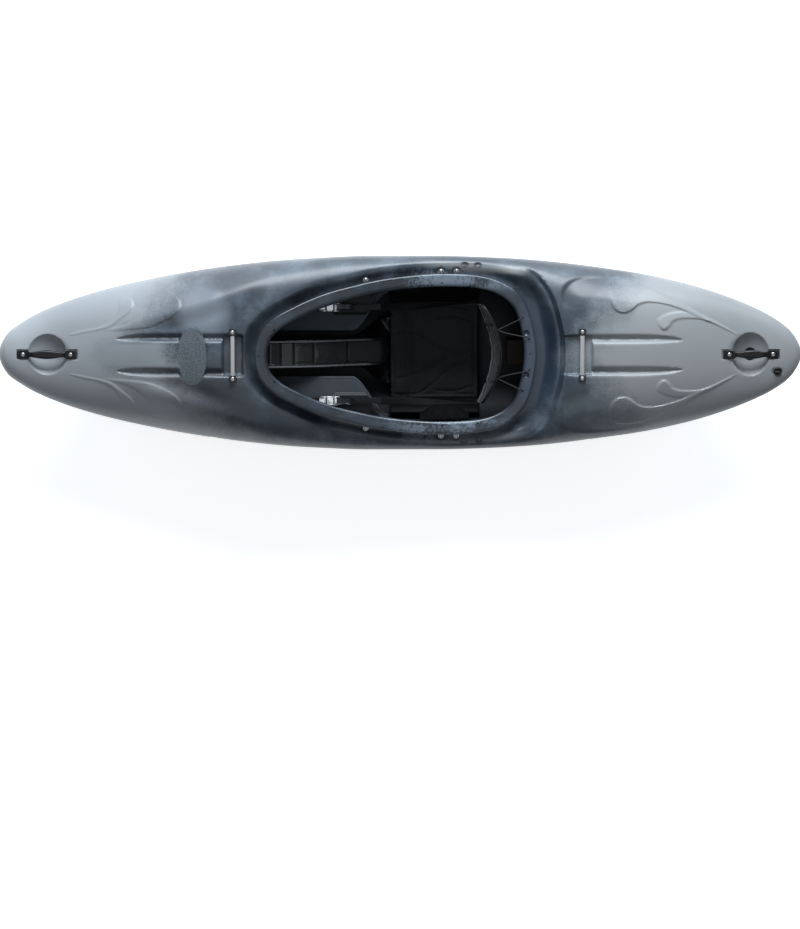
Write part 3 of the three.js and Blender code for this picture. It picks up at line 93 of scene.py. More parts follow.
def through(table, places):
    """Smooth curve through a table's points, without overshoot."""
    xs, ys = np.array(table, float).T
    width = np.diff(xs)
    step = np.diff(ys) / width
    product = step[:-1] * step[1:]
    total = np.where(step[:-1] + step[1:] == 0, 1, step[:-1] + step[1:])
    inner = np.where(product <= 0, 0, 2 * product / total)
    slope = np.concatenate([[step[0]], inner, [step[-1]]])
    places = clamp(np.asarray(places, float), xs[0], xs[-1])
    i = clamp(np.searchsorted(xs, places, side="right") - 1, 0, len(xs) - 2)
    t = (places - xs[i]) / width[i]
    rise = t * t * (3 - 2 * t)
    bend = slope[i] * t * (1 - t) ** 2 - slope[i + 1] * t * t * (1 - t)
    return ys[i] * (1 - rise) + ys[i + 1] * rise + width[i] * bend


def along(table, places):
    xs, ys = np.array(table, float).T
    return np.interp(places, xs, ys)


def way_along(points):
    """How far along a line each of its points is."""
    return np.concatenate([[0], np.cumsum(np.linalg.norm(np.diff(points, axis=0), axis=1))])


def joined(*runs):
    """One run of places from several, each of which starts where the one before ends."""
    return np.concatenate([run[:-1] for run in runs[:-1]] + [runs[-1]])


def spline(points, count, closed=False):
    """Centripetal curve through points, resampled evenly along its length."""
    points = np.array(points, float)
    before, after = 2 * points[:1] - points[1:2], 2 * points[-1:] - points[-2:-1]
    if closed:
        before, after = points[-1:], points[:2]
    ring = np.concatenate([before, points, after])
    fine = []
    for a, b, c, d in zip(ring, ring[1:], ring[2:], ring[3:]):
        t1, t2, t3 = np.cumsum([np.linalg.norm(step) ** 0.5 for step in (b - a, c - b, d - c)])
        t = np.linspace(t1, t2, 24, endpoint=False)[:, None]
        ab, bc, cd = mix(a, b, t / t1), mix(b, c, (t - t1) / (t2 - t1)), mix(c, d, (t - t2) / (t3 - t2))
        abc, bcd = mix(ab, bc, t / t2), mix(bc, cd, (t - t1) / (t3 - t1))
        fine.append(mix(abc, bcd, (t - t1) / (t2 - t1)))
    fine = np.concatenate(fine + [points[:1] if closed else points[-1:]])
    lengths = way_along(fine)
    marks = np.linspace(0, lengths[-1], count, endpoint=not closed)
    return np.stack([np.interp(marks, lengths, axis) for axis in fine.T], axis=1)


def segment_distance(x, y, a, b):
    """Distance to the straight line from a to b, and how far along it the nearest point is."""
    run_x, run_y = b[0] - a[0], b[1] - a[1]
    t = clamp(((x - a[0]) * run_x + (y - a[1]) * run_y) / (run_x ** 2 + run_y ** 2 + TINY))
    return np.hypot(x - a[0] - run_x * t, y - a[1] - run_y * t), t


def near_points(points, x, y, reach):
    """Whether places lie in the rectangle round drawn points, made larger by reach."""
    low, high = points.min(axis=0) - reach, points.max(axis=0) + reach
    return (x > low[0]) & (x < high[0]) & (y > low[1]) & (y < high[1])


def distance_inside(polygon, x, y):
    """Distance to a closed outline, positive inside it."""
    near = np.full(x.shape, np.inf)
    inside = np.zeros(x.shape, bool)
    for a, b in zip(polygon, np.roll(polygon, -1, axis=0)):
        near = np.minimum(near, segment_distance(x, y, a, b)[0])
        slope = (b[0] - a[0]) / (b[1] - a[1] if b[1] != a[1] else TINY)
        inside ^= ((a[1] > y) != (b[1] > y)) & (x < a[0] + slope * (y - a[1]))
    return np.where(inside, near, -near)


# Meshes
def new_mesh(name, work, *materials):
    """Mesh from a finished bmesh."""
    mesh = bpy.data.meshes.new(name)
    work.to_mesh(mesh)
    work.free()
    for material in materials:
        mesh.materials.append(material)
    return mesh


def new_piece(name, mesh):
    piece = bpy.data.objects.new(name, mesh)
    bpy.context.collection.objects.link(piece)
    return piece


def shade_smooth(mesh, angle=None):
    """Shades a mesh smooth, but for edges sharper than an angle in degrees."""
    mesh.polygons.foreach_set("use_smooth", [True] * len(mesh.polygons))
    if angle:
        mesh.set_sharp_from_angle(angle=math.radians(angle))


def modified(piece, kind, **settings):
    """Applies one modifier, so that what it shows becomes the piece's own mesh."""
    step = piece.modifiers.new(kind, kind)
    for key, value in settings.items():
        setattr(step, key, value)
    graph = bpy.context.evaluated_depsgraph_get()
    mesh = bpy.data.meshes.new_from_object(piece.evaluated_get(graph))
    old = piece.data
    piece.modifiers.clear()
    piece.data = mesh
    mesh.name = piece.name
    bpy.data.meshes.remove(old)
    return piece


def bevelled(piece, width, segments=3, angle=40):
    """Rounds the hard edges of a piece, width in millimetres."""
    limit = dict(limit_method="ANGLE", angle_limit=math.radians(angle))
    modified(piece, "BEVEL", width=width * MM, segments=segments, harden_normals=False, **limit)
    shade_smooth(piece.data, 48)
    return piece


def join(name, *parts):
    """One object from several, each face with its own part's material."""
    work = bmesh.new()
    materials, numbers = [], []
    for part in parts:
        work.from_mesh(part.data)
        materials += [material for material in part.data.materials if material not in materials]
        place = [materials.index(material) for material in part.data.materials]
        numbers += [place[face.material_index] for face in part.data.polygons]
    mesh = new_mesh(name, work, *materials)
    mesh.polygons.foreach_set("material_index", numbers)
    for part in parts:
        bpy.data.objects.remove(part)
    return new_piece(name, mesh)


def place_rows(rows, matrix):
    matrix = np.array(matrix)
    return np.array(rows, float) @ matrix[:3, :3].T + matrix[:3, 3]


def stand(x, y, z, axis=(0, 0, 1), spin=0.0):
    """Frame whose Z runs along an axis from a place, both in millimetres."""
    turn = Vector((0, 0, 1)).rotation_difference(Vector(axis).normalized()).to_matrix().to_4x4()
    return Matrix.Translation((x, y, z)) @ turn @ Matrix.Rotation(spin, 4, "Z")


class Build:
    """Collects points in millimetres and faces of several patches into one mesh."""

    def __init__(self):
        self.points, self.faces, self.count = [], [], 0

    def add(self, points, faces):
        self.points.append(np.reshape(points, (-1, 3)))
        self.faces.extend((np.asarray(faces) + self.count).tolist())
        self.count += len(self.points[-1])

    def grid(self, points, wrap=False, flip=False):
        """Patch of points laid out row by row."""
        rows, columns = np.shape(points)[:2]
        row = np.arange(rows - 1)[:, None] * columns
        here = np.arange(columns if wrap else columns - 1)
        after = (here + 1) % columns
        faces = np.stack([row + here, row + after, row + columns + after, row + columns + here], axis=-1)
        faces = faces.reshape(-1, 4)
        self.add(points, faces[:, ::-1] if flip else faces)

    def fan(self, ring):
        """Closes a ring with triangles about its middle."""
        count = len(ring)
        faces = [[i, (i + 1) % count, count] for i in range(count)]
        self.add(np.concatenate([ring, [np.mean(ring, axis=0)]]), faces)

    def rod(self, rings, wrap=True):
        """Rings one behind the other, closed at both ends."""
        self.grid(rings, wrap)
        self.fan(rings[0])
        self.fan(rings[-1])

    def lathe(self, profile, segments, matrix):
        """Profile of radius and height turned round the Z axis of a frame."""
        angle = turns(segments)
        rings = [points_of(r * np.cos(angle), r * np.sin(angle), z) for r, z in profile]
        self.grid(place_rows(rings, matrix), wrap=True)

    def between(self, upper, lower):
        """Body between two surfaces, closed along its four sides."""
        self.grid(upper)
        self.grid(lower, flip=True)
        for edge in (np.s_[0], np.s_[-1], np.s_[:, 0], np.s_[:, -1]):
            self.grid(np.stack([upper[edge], lower[edge]]))

    def object(self, name, material, weld=0.05, smooth_angle=38, outward=True):
        """The finished piece, its points welded within a distance in millimetres."""
        mesh = bpy.data.meshes.new(name)
        mesh.from_pydata((np.concatenate(self.points) * MM).tolist(), [], self.faces)
        mesh.validate()
        work = bmesh.new()
        work.from_mesh(mesh)
        bmesh.ops.remove_doubles(work, verts=work.verts, dist=weld * MM)
        bmesh.ops.dissolve_degenerate(work, edges=work.edges, dist=weld * MM / 5)
        if outward:
            bmesh.ops.recalc_face_normals(work, faces=work.faces)
        bpy.data.meshes.remove(mesh)
        mesh = new_mesh(name, work, material)
        shade_smooth(mesh, smooth_angle)
        return new_piece(name, mesh)


def vertex_values(mesh, kind):
    """Places or directions of a mesh's points."""
    found = np.empty(len(mesh.vertices) * 3)
    mesh.vertices.foreach_get(kind, found)
    return found.reshape(-1, 3)


def coordinates(piece):
    return vertex_values(piece.data, "co") / MM


def move_points(piece, points):
    piece.data.vertices.foreach_set("co", (points * MM).ravel())
    piece.data.update()


def slab(name, columns, rows, surface, high, low, material, smooth_angle=38):
    """Closed piece between two layers of a surface: surface(u, v, layer) gives X, Y and Z."""
    u, v = np.meshgrid(np.linspace(0, 1, columns + 1), np.linspace(0, 1, rows + 1), indexing="ij")
    build = Build()
    build.between(*(points_of(*surface(u, v, layer)) for layer in (high, low)))
    return build.object(name, material, weld=0.01, smooth_angle=smooth_angle)


def edge_distance(u, v):
    """Distance of two shares to the nearest edge."""
    return np.minimum.reduce([u, 1 - u, v, 1 - v])


def flat_plate(name, outline, low, high, material, edge=0.8):
    """Flat piece from an outline, with rounded edges."""
    work = bmesh.new()
    face = work.faces.new([work.verts.new((x * MM, y * MM, low * MM)) for x, y in outline])
    grown = bmesh.ops.extrude_face_region(work, geom=[face])
    moved = [part for part in grown["geom"] if isinstance(part, bmesh.types.BMVert)]
    bmesh.ops.translate(work, vec=(0, 0, (high - low) * MM), verts=moved)
    bmesh.ops.recalc_face_normals(work, faces=work.faces)
    return bevelled(new_piece(name, new_mesh(name, work, material)), edge)


def rounded_profile(points, radius, count=5):
    """Outline with its corners rounded."""
    points = np.array(points, float)
    made = []
    for before, corner, after in zip(np.roll(points, 1, axis=0), points, np.roll(points, -1, axis=0)):
        a, b = before - corner, after - corner
        reach = min(radius, np.linalg.norm(a) * 0.45, np.linalg.norm(b) * 0.45)
        start, end = corner + unit(a) * reach, corner + unit(b) * reach
        for t in np.linspace(0, 1, count):
            made.append((1 - t) ** 2 * start + 2 * t * (1 - t) * corner + t * t * end)
    return np.array(made)


def finish_piece(piece, body, material_slot, *nodes):
    """Says which body a piece rides on and the nodes that it replaces."""
    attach(piece, body)
    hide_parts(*nodes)


# The camera, and places read off the photograph in its pixels
camera_place, camera_aim = (0.0, 0.62, 11.05), (0.0, -0.363, 0.24)
focal_length, sensor_width = 150, 36
photo_width, photo_height, pixel_size = 800, 929, 3.25
upper_view_middle = 355.2
deck_enlargement, cockpit_enlargement = 5.807, 4.9


def photo_x(px):
    return (np.asarray(px, float) - photo_width / 2) * pixel_size


def photo_y(py):
    return -(np.asarray(py, float) - upper_view_middle) * pixel_size


def from_crop(points, left):
    """Places of points marked on an enlargement of the photograph's upper view."""
    points = np.array(points, float) / deck_enlargement
    return np.stack([photo_x(left + points[:, 0]), photo_y(250 + points[:, 1])], axis=1)


def seen(points, height):
    """Places at a height under points marked on the cockpit's enlargement."""
    place = np.array(camera_place)
    away = unit(np.array(camera_aim) - place)
    up = np.cross((1, 0, 0), away)
    px, py = (np.array(points, float) / cockpit_enlargement + (240, 250)).T
    ray = away * photo_width * focal_length / sensor_width
    ray = ray + np.outer(px - photo_width / 2, (1, 0, 0)) + np.outer(photo_height / 2 - py, up)
    reach = (height * MM - place[2]) / ray[:, 2]
    return ((place + ray * reach[:, None]) / MM)[:, :2]


scoops = ((464.4, 266.5), (477.5, 267), (463.8, 443), (478.8, 442))
scoops = [(photo_x(px), photo_y(py)) for px, py in scoops]
oval_x, oval_y, oval_length, oval_width = -667.0, -4.0, 49.0, 95.0


# Materials
def math_node(operation, swapped=False):
    """Method that joins a field and what it is given in one Math node."""
    def method(field, *others):
        return field.shade.math(operation, *((*others, field) if swapped else (field, *others)))
    return method


class Field:
    """A value inside a material: sums, products and the rest become its Math nodes."""

    __add__ = __radd__ = math_node("ADD")
    __mul__ = __rmul__ = math_node("MULTIPLY")
    __sub__, __rsub__ = math_node("SUBTRACT"), math_node("SUBTRACT", True)
    __truediv__, __rtruediv__ = math_node("DIVIDE"), math_node("DIVIDE", True)
    __pow__, __rpow__ = math_node("POWER"), math_node("POWER", True)
    __abs__, sine, minimum, maximum = map(math_node, ("ABSOLUTE", "SINE", "MINIMUM", "MAXIMUM"))

    def __init__(self, shade, socket):
        self.shade, self.socket = shade, socket

    def beside(self, output):
        """Another output of the node that this value comes from."""
        return Field(self.shade, self.socket.node.outputs[output])

    def ramp(self, low, high, start=0.0, end=1.0):
        """Smooth step from start at low to end at high."""
        return self.shade.node(
            "ShaderNodeMapRange", "Result", dict(interpolation_type="SMOOTHSTEP"),
            Value=self, **{"From Min": low, "From Max": high, "To Min": start, "To Max": end},
        )


class Shade:
    """One material with its Principled shader."""

    def __init__(self, name, roughness=0.5, metallic=0.0, **sockets):
        self.material = bpy.data.materials.new(name)
        self.material.use_nodes = True
        self.tree = self.material.node_tree
        self.shader = self.tree.nodes["Principled BSDF"]
        self.set(Roughness=roughness, Metallic=metallic, **sockets)
        self.place = self.node("ShaderNodeTexCoord", "Object")
        self.x = self.node("ShaderNodeSeparateXYZ", "X", Vector=self.place)
        self.y, self.z = self.x.beside("Y"), self.x.beside("Z")

    def plug(self, socket, value):
        if isinstance(value, Field):
            self.tree.links.new(value.socket, socket)
        elif isinstance(value, tuple) and len(socket.default_value) == 4:
            socket.default_value = (*value, 1.0)
        else:
            socket.default_value = value

    def node(self, kind, output, settings=None, numbered=(), **inputs):
        """One node: its settings, then its sockets by number in pairs, or by name."""
        made = self.tree.nodes.new(kind)
        for key, value in (settings or {}).items():
            setattr(made, key, value)
        for key, value in (*numbered, *inputs.items()):
            self.plug(made.inputs[key], value)
        return Field(self, made.outputs[output])

    def math(self, operation, *values):
        return self.node("ShaderNodeMath", 0, dict(operation=operation), enumerate(values))

    def stretched(self, x, y, z):
        return self.node("ShaderNodeMapping", "Vector", Vector=self.place, Scale=(x, y, z))

    def noise(self, scale, detail=2.0, roughness=0.5, distortion=0.0, place=None):
        return self.node(
            "ShaderNodeTexNoise", "Fac", Vector=place or self.place, Scale=scale, Detail=detail,
            Roughness=roughness, Distortion=distortion,
        )

    def cells(self, scale):
        return self.node("ShaderNodeTexVoronoi", "Distance", Vector=self.place, Scale=scale)

    def spot(self, x, y, half_x, half_y, inner, outer, strength=1.0, drift=0.0):
        """Strength inside an ellipse seen from above, fading to nothing between two measures of it."""
        away = ((self.x - x) / half_x) ** 2 + ((self.y - y) / half_y) ** 2 + drift
        return away.ramp(inner, outer, strength, 0)

    def blend(self, share, first, second):
        numbered = (0, share), (6, first), (7, second)
        return self.node("ShaderNodeMix", 2, dict(data_type="RGBA"), numbered)

    def set(self, **sockets):
        for key, value in sockets.items():
            self.plug(self.shader.inputs[key.replace("_", " ")], value)

    def bump(self, height, distance, strength=1.0):
        """Relief of the given depth in millimetres, on top of any before it."""
        inputs = dict(Height=height, Distance=distance * MM, Strength=strength)
        normal = self.shader.inputs["Normal"]
        if normal.is_linked:
            inputs["Normal"] = Field(self, normal.links[0].from_socket)
        self.plug(normal, self.node("ShaderNodeBump", "Normal", **inputs))


def shell_material():
    """Rotomoulded polyethylene: grey ends that speckle into a blue-black middle."""
    shade = Shade("shell_polyethylene", Coat_Roughness=0.2)
    along_x, side = shade.x, abs(shade.y)
    cloud, patch, speck = shade.noise(3.2, 3, 0.55, 0.4), shade.noise(11, 4, 0.6), shade.noise(420, 2, 0.6)
    drift = (cloud - 0.5) * 0.17 + (patch - 0.5) * 0.14 + (speck - 0.5) * 0.2
    mottle = (shade.noise(120, 4, 0.7) - 0.5) * 0.9 + patch
    # How much of the grey ends, and how near the cockpit: 1 on the coaming and in the moat, where the black
    # is the rim's own pigment and, in the deep moat, painted shade
    bow = (side * 1.45 - shade.y.maximum(0) * 0.6 - along_x + drift).ramp(0.79, 1.05)
    bow_panel = (drift * 0.6 - along_x).ramp(0.7, 0.77) * side.ramp(0.03, 0.05, 0.8, 0)
    stern = (along_x - side * 0.8 + drift).ramp(0.47, 0.67)
    dark_panel = shade.spot(0.57, 0.215, 0.085, 0.04, 0.2, 1.5, 0.75, drift)
    ends = bow.maximum(stern).maximum(bow_panel) * (dark_panel * -0.7 + 1)
    # Painted shade: the moat round the coaming turns black, along with the rim's own dark pigment.
    rim_pigment_and_moat_shade = shade.spot(0.032, 0, 0.52, 0.28, 0.8, 1.12) * along_x.ramp(-0.49, -0.44, 0.35, 1)
    # Pale and dark pigment on the front deck, the stern and the rear rim, with painted highlight on the
    # cockpit's shoulders and painted light and shade on the front deck
    # Painted highlight: a pale band on the moat's outer shoulders, partly pale pigment, stronger on the lit
    # starboard side.
    pale_band_and_highlight = abs(side - (0.297 - along_x * 0.08) + drift * 0.04).ramp(0.005, 0.019, 1, 0)
    pale_band_and_highlight = pale_band_and_highlight * along_x.ramp(0.02, 0.2) * along_x.ramp(0.36, 0.43, 1, 0)
    pale_band_and_highlight = pale_band_and_highlight * shade.y.ramp(-0.1, 0.1, 0.3, 0.85)
    # Painted light: a pale patch on the starboard front deck where its ridge faces the lamp.
    painted_light_deck = shade.spot(-0.63, 0.14, 0.09, 0.09, 0.1, 1.4, 0.8, drift)
    pale_stern = shade.spot(0.64, -0.19, 0.12, 0.07, 0.1, 1.4, 0.45, drift)
    # Painted shade: a dark patch on the port front deck, the side away from the lamp.
    painted_shade_deck = shade.spot(-0.58, -0.17, 0.15, 0.09, 0.2, 1.4, 0.7, drift)
    dark_edge = shade.spot(-0.52, 0.235, 0.1, 0.04, 0.2, 1.5, 0.7, drift)
    rear_rim = along_x.ramp(-0.12, 0.12) * along_x.ramp(0.36, 0.5, 1, 0) * side.ramp(0.2, 0.225)
    # Painted shade: the finger scoops' hollows are darkened, broken up by mottle.
    scoop_shade = sum(shade.spot(x * MM, y * MM, 0.014, 0.0105, 0.8, 1.15) for x, y in scoops)
    oval = shade.spot(oval_x * MM, oval_y * MM, oval_length * MM, oval_width * MM, 0.94, 0.98)
    grey = shade.blend(stern, (0.305, 0.325, 0.342), (0.29, 0.298, 0.3))
    grey = shade.blend((cloud - 0.5) * 0.9 + 0.4, grey, (0.215, 0.228, 0.235))
    grey = shade.blend((along_x * -1).ramp(1.06, 1.24, 0, 0.6), grey, (0.38, 0.4, 0.415))
    dark = shade.blend(patch.ramp(0.4, 0.7), (0.03, 0.041, 0.054), (0.062, 0.082, 0.104))
    dark = shade.blend((speck * patch).ramp(0.3, 0.42), dark, (0.1, 0.125, 0.15))
    brown = cloud.ramp(0.5, 0.62) * along_x.ramp(-0.55, -0.3, 0.5, 0)
    dark = shade.blend(brown, dark, (0.068, 0.062, 0.06))
    dark = shade.blend(painted_light_deck.maximum(pale_stern), dark, (0.165, 0.19, 0.215))
    dark = shade.blend(painted_shade_deck.maximum(dark_edge).maximum(dark_panel), dark, (0.018, 0.025, 0.034))
    black = shade.blend(patch.ramp(0.4, 0.7), (0.01, 0.015, 0.022), (0.026, 0.037, 0.053))
    black = shade.blend(along_x.ramp(0.36, 0.42, 0, 0.6), black, (0.032, 0.05, 0.078))
    black = shade.blend(mottle.ramp(0.42, 0.62) * rear_rim * 0.85, black, (0.15, 0.185, 0.225))
    black = shade.blend(along_x.ramp(-0.46, -0.36, 0.45, 0), black, (0.004, 0.0065, 0.011))
    sand = shade.blend(speck.ramp(0.4, 0.6), (0.045, 0.055, 0.064), (0.12, 0.14, 0.155))
    middle = shade.blend(pale_band_and_highlight, shade.blend(rim_pigment_and_moat_shade, dark, black), (0.27, 0.285, 0.28))
    middle = shade.blend(scoop_shade * mottle.ramp(0.3, 0.55, 1, 0.5), middle, (0.008, 0.01, 0.012))
    middle = shade.blend(oval, middle, sand)
    above_keel = (shade.z + drift * 0.05).ramp(0.12, 0.24)
    colour = shade.blend(above_keel, (0.05, 0.056, 0.062), shade.blend(ends, middle, grey))
    scuff = shade.noise(60, 4, 0.7, place=shade.stretched(0.25, 1.6, 1)).ramp(0.6, 0.72)
    shade.set(
        Base_Color=shade.blend(scuff * 0.12, colour, (0.3, 0.31, 0.32)),
        Roughness=0.42 + (patch - 0.5) * 0.14 + scuff * 0.12 + ends * 0.06 + oval * 0.2 - rim_pigment_and_moat_shade * 0.06,
        Coat_Weight=0.2 + rim_pigment_and_moat_shade * 0.2 - oval * 0.15,
    )
    shade.bump(shade.noise(900, 2, 0.5), 0.05, 0.35)
    shade.bump(shade.noise(26, 2, 0.4), 0.5, 0.25)
    shade.bump(shade.noise(240, 4, 0.7) * oval, 1.6, 0.9)
    return shade.material


def shaded_inside_material():
    """The shell's inner face: the same plastic, waxy, its colour darkened to near black as painted shade.
    """
    shade = Shade("shell_inside_painted_shade", Specular_IOR_Level=0.18)
    patch = shade.noise(14, 4, 0.6)
    speck = shade.noise(300, 2, 0.6)
    # Painted shade: near-black colour for the whole inner face.
    shade.set(Base_Color=shade.blend(patch * speck * 2, (0.004, 0.0045, 0.006), (0.012, 0.014, 0.018)))
    shade.set(Roughness=0.45 + (patch - 0.5) * 0.2)
    shade.bump(speck, 0.12, 0.5)
    return shade.material


def plastic_material(name, colour=(0.012, 0.012, 0.013), roughness=0.42, grain=0.06, shine=0.5):
    """Moulded plastic with a fine spark-eroded grain and dull worn patches."""
    shade = Shade(name, Specular_IOR_Level=shine)
    wear = shade.noise(35, 3, 0.6)
    light = tuple(c * 2.4 + 0.004 for c in colour)
    shade.set(Base_Color=shade.blend(wear.ramp(0.52, 0.8) * 0.5, colour, light))
    shade.set(Roughness=roughness + (wear - 0.5) * 0.2)
    shade.bump(shade.cells(1500), grain, 0.5)
    return shade.material


def tray_material():
    """Glossy moulding with painted highlights: paler along its rims and at the shoulders of its rear end.
    """
    shade = Shade("tray_black", Specular_IOR_Level=0.5)
    wear, side = shade.noise(35, 3, 0.6), abs(shade.y)
    # Painted highlight: paler colour on the rims' crests and the rear shoulders, stronger to starboard,
    # broken by the noise.
    rim_highlight = side.ramp(0.0365, 0.038) * side.ramp(0.0415, 0.043, 1, 0)
    rim_highlight = rim_highlight * shade.x.ramp(-0.6, -0.42) * shade.x.ramp(-0.12, -0.08, 1, 0)
    shoulder_highlight = abs((shade.x + 0.048) * 0.82 + (side - 0.083) * 0.57).ramp(0.001, 0.006, 1, 0)
    shoulder_highlight = shoulder_highlight * side.ramp(0.055, 0.075) * side.ramp(0.09, 0.108, 1, 0)
    shoulder_highlight = shoulder_highlight * shade.y.ramp(-0.01, 0.01, 0.2, 1)
    painted_highlight = (rim_highlight * 0.8).maximum(shoulder_highlight) * wear.ramp(0.2, 0.6, 0.7, 1)
    plain = shade.blend(wear.ramp(0.52, 0.8) * 0.5, (0.0105, 0.0105, 0.0112), (0.03, 0.03, 0.031))
    shade.set(Base_Color=shade.blend(painted_highlight, plain, (0.13, 0.132, 0.136)))
    shade.set(Roughness=0.28 + (wear - 0.5) * 0.2)
    shade.bump(shade.cells(500), 0.008, 0.3)
    return shade.material


def metal_material(name, colour, roughness, brushed=None, scratch=0.12, metallic=1.0):
    """Bright metal; brushed gives the stretch of its grain along X, Y and Z."""
    shade = Shade(name, metallic=metallic)
    grain = shade.noise(260, 3, 0.6, place=shade.stretched(*(brushed or (1, 1, 1))))
    smear = shade.noise(30, 2, 0.5)
    shade.set(Base_Color=shade.blend(smear * 0.5, colour, tuple(c * 0.72 for c in colour)))
    shade.set(Roughness=roughness + (grain - 0.5) * scratch + (smear - 0.5) * 0.08)
    shade.bump(grain, 0.03, 0.4)
    return shade.material


def foam_material(name, colour, grain=1.0, sheen=0.15, shine=0.5):
    """Closed-cell foam, cut faces with small open cells."""
    shade = Shade(name, roughness=0.9, Sheen_Weight=sheen, Specular_IOR_Level=shine)
    cells = shade.cells(620 / grain)
    cloud = shade.noise(22, 3, 0.6)
    deep = tuple(c * 0.45 for c in colour)
    shade.set(Base_Color=shade.blend(cells.ramp(0.1, 0.5) * 0.55 + (cloud - 0.5) * 0.4, colour, deep))
    shade.bump(cells, 0.35 * grain, 0.6)
    shade.bump(cloud, 1.2, 0.3)
    return shade.material


def weave_material(name, colour, thread=0.9, ribs=False, sheen=0.3, shine=0.2):
    """Woven cloth, threads of the given width in millimetres; ribs make it webbing."""
    shade = Shade(name, roughness=0.82, Sheen_Weight=sheen, Sheen_Roughness=0.4, Specular_IOR_Level=shine)
    pitch = math.pi / (thread * MM)
    warp = abs((shade.y * pitch + shade.z * pitch).sine())
    weft = abs((shade.x * pitch * (0.5 if ribs else 1.0)).sine())
    threads = warp * 0.6 + weft * 0.4 if ribs else warp * weft
    cloud, fuzz = shade.noise(28, 3, 0.6), shade.noise(1400, 2, 0.7)
    light = tuple(c * 2.2 + 0.006 for c in colour)
    share = threads * 0.6 + (cloud - 0.5) * 0.5 + (fuzz - 0.5) * 0.4
    shade.set(Base_Color=shade.blend(share, colour, light))
    shade.set(Roughness=0.86 - threads * 0.12)
    shade.bump(threads, 0.4 if ribs else 0.22, 0.55)
    shade.bump(cloud, 0.9, 0.25)
    return shade.material


shell = shell_material()
inside = shaded_inside_material()
black_plastic = plastic_material("moulded_black")
satin_plastic = plastic_material("satin_black", (0.005, 0.005, 0.0055), 0.32, 0.03, shine=0.4)
outfit_plastic = plastic_material("outfitting_black", (0.006, 0.006, 0.0068), 0.42, 0.03, shine=0.25)
# Painted shade: the thigh braces' plastic is a darker copy of the black plastic, so edges facing the lamp
# stay dark.
brace_plastic_painted_shade = plastic_material("brace_black_painted_shade", (0.003, 0.003, 0.0034), 0.45, 0.05, shine=0.25)
# Painted shade: the seat pan's and hangers' plastic is a darker, duller copy of the black plastic.
hanger_plastic_painted_shade = plastic_material("hanger_black_painted_shade", (0.0025, 0.0025, 0.0028), 0.6, 0.05, shine=0.12)
tray_plastic = tray_material()
blackened = metal_material("blackened_steel", (0.06, 0.06, 0.064), 0.36)
rubber = plastic_material("rubber_black", (0.01, 0.01, 0.01), 0.7, 0.02)
stainless = metal_material("brushed_stainless", (0.52, 0.52, 0.51), 0.5, (1.5, 0.08, 1.5), metallic=0.7)
bolt_steel = metal_material("polished_steel", (0.55, 0.54, 0.53), 0.3)
chrome = metal_material("chrome_plate", (0.9, 0.91, 0.92), 0.24, scratch=0.05, metallic=0.5)
aluminium = metal_material("anodised_aluminium", (0.5, 0.51, 0.52), 0.42, (0.08, 1.5, 1.5))
grey_foam = foam_material("grey_foam", (0.075, 0.08, 0.085))
brown_foam = foam_material("brown_foam", (0.0075, 0.005, 0.0032), 1.4, sheen=0.02, shine=0.12)
dark_foam = foam_material("dark_foam", (0.014, 0.0145, 0.016), 1.1)
pad_foam = foam_material("charcoal_foam", (0.047, 0.056, 0.067), 0.8)
black_fabric = weave_material("black_fabric", (0.0085, 0.0087, 0.0095), 1.1, sheen=0.15)
seat_fabric = weave_material("seat_fabric", (0.019, 0.0192, 0.0205), 1.1, sheen=0.15)
# Painted shade: the hip pads' fabric is a much darker copy of the black fabric.
hip_fabric_painted_shade = weave_material("hip_fabric_painted_shade", (0.0022, 0.0022, 0.0025), 1.1, sheen=0.0, shine=0.05)
webbing = weave_material("black_webbing", (0.0022, 0.0023, 0.0026), 1.6, ribs=True, sheen=0.0, shine=0.08)


# The shell's lines, as the frame has them
hull_length, hull_beam, hull_height, hull_wall = 2600, 630, 397, 8
beam_shares = [
    (0, 0.05), (0.0125, 0.22), (0.025, 0.3), (0.05, 0.42), (0.1, 0.58), (0.15, 0.695),
    (0.2, 0.784), (0.25, 0.856), (0.3, 0.912), (0.35, 0.954), (0.4, 0.98), (0.46, 1),
    (0.55, 1), (0.6, 0.99), (0.65, 0.969), (0.7, 0.933), (0.75, 0.881), (0.8, 0.82),
    (0.85, 0.732), (0.9, 0.61), (0.95, 0.44), (0.975, 0.315), (0.9875, 0.22), (1, 0.05),
]
keel_shares = [
    (0, 0.69), (0.01, 0.594), (0.025, 0.52), (0.05, 0.43), (0.1, 0.282), (0.15, 0.192),
    (0.2, 0.119), (0.25, 0.061), (0.3, 0.029), (0.36, 0.009), (0.42, 0), (0.54, 0),
    (0.6, 0.022), (0.65, 0.053), (0.7, 0.086), (0.75, 0.119), (0.8, 0.184), (0.85, 0.258),
    (0.9, 0.348), (0.95, 0.471), (0.975, 0.544), (0.99, 0.61), (1, 0.7),
]
sheer_shares = [
    (0, 0.703), (0.02, 0.67), (0.043, 0.645), (0.086, 0.613), (0.13, 0.583), (0.215, 0.546),
    (0.335, 0.52), (0.45, 0.51), (0.6, 0.511), (0.7, 0.523), (0.8, 0.557), (0.88, 0.604),
    (0.93, 0.64), (0.965, 0.679), (1, 0.715),
]
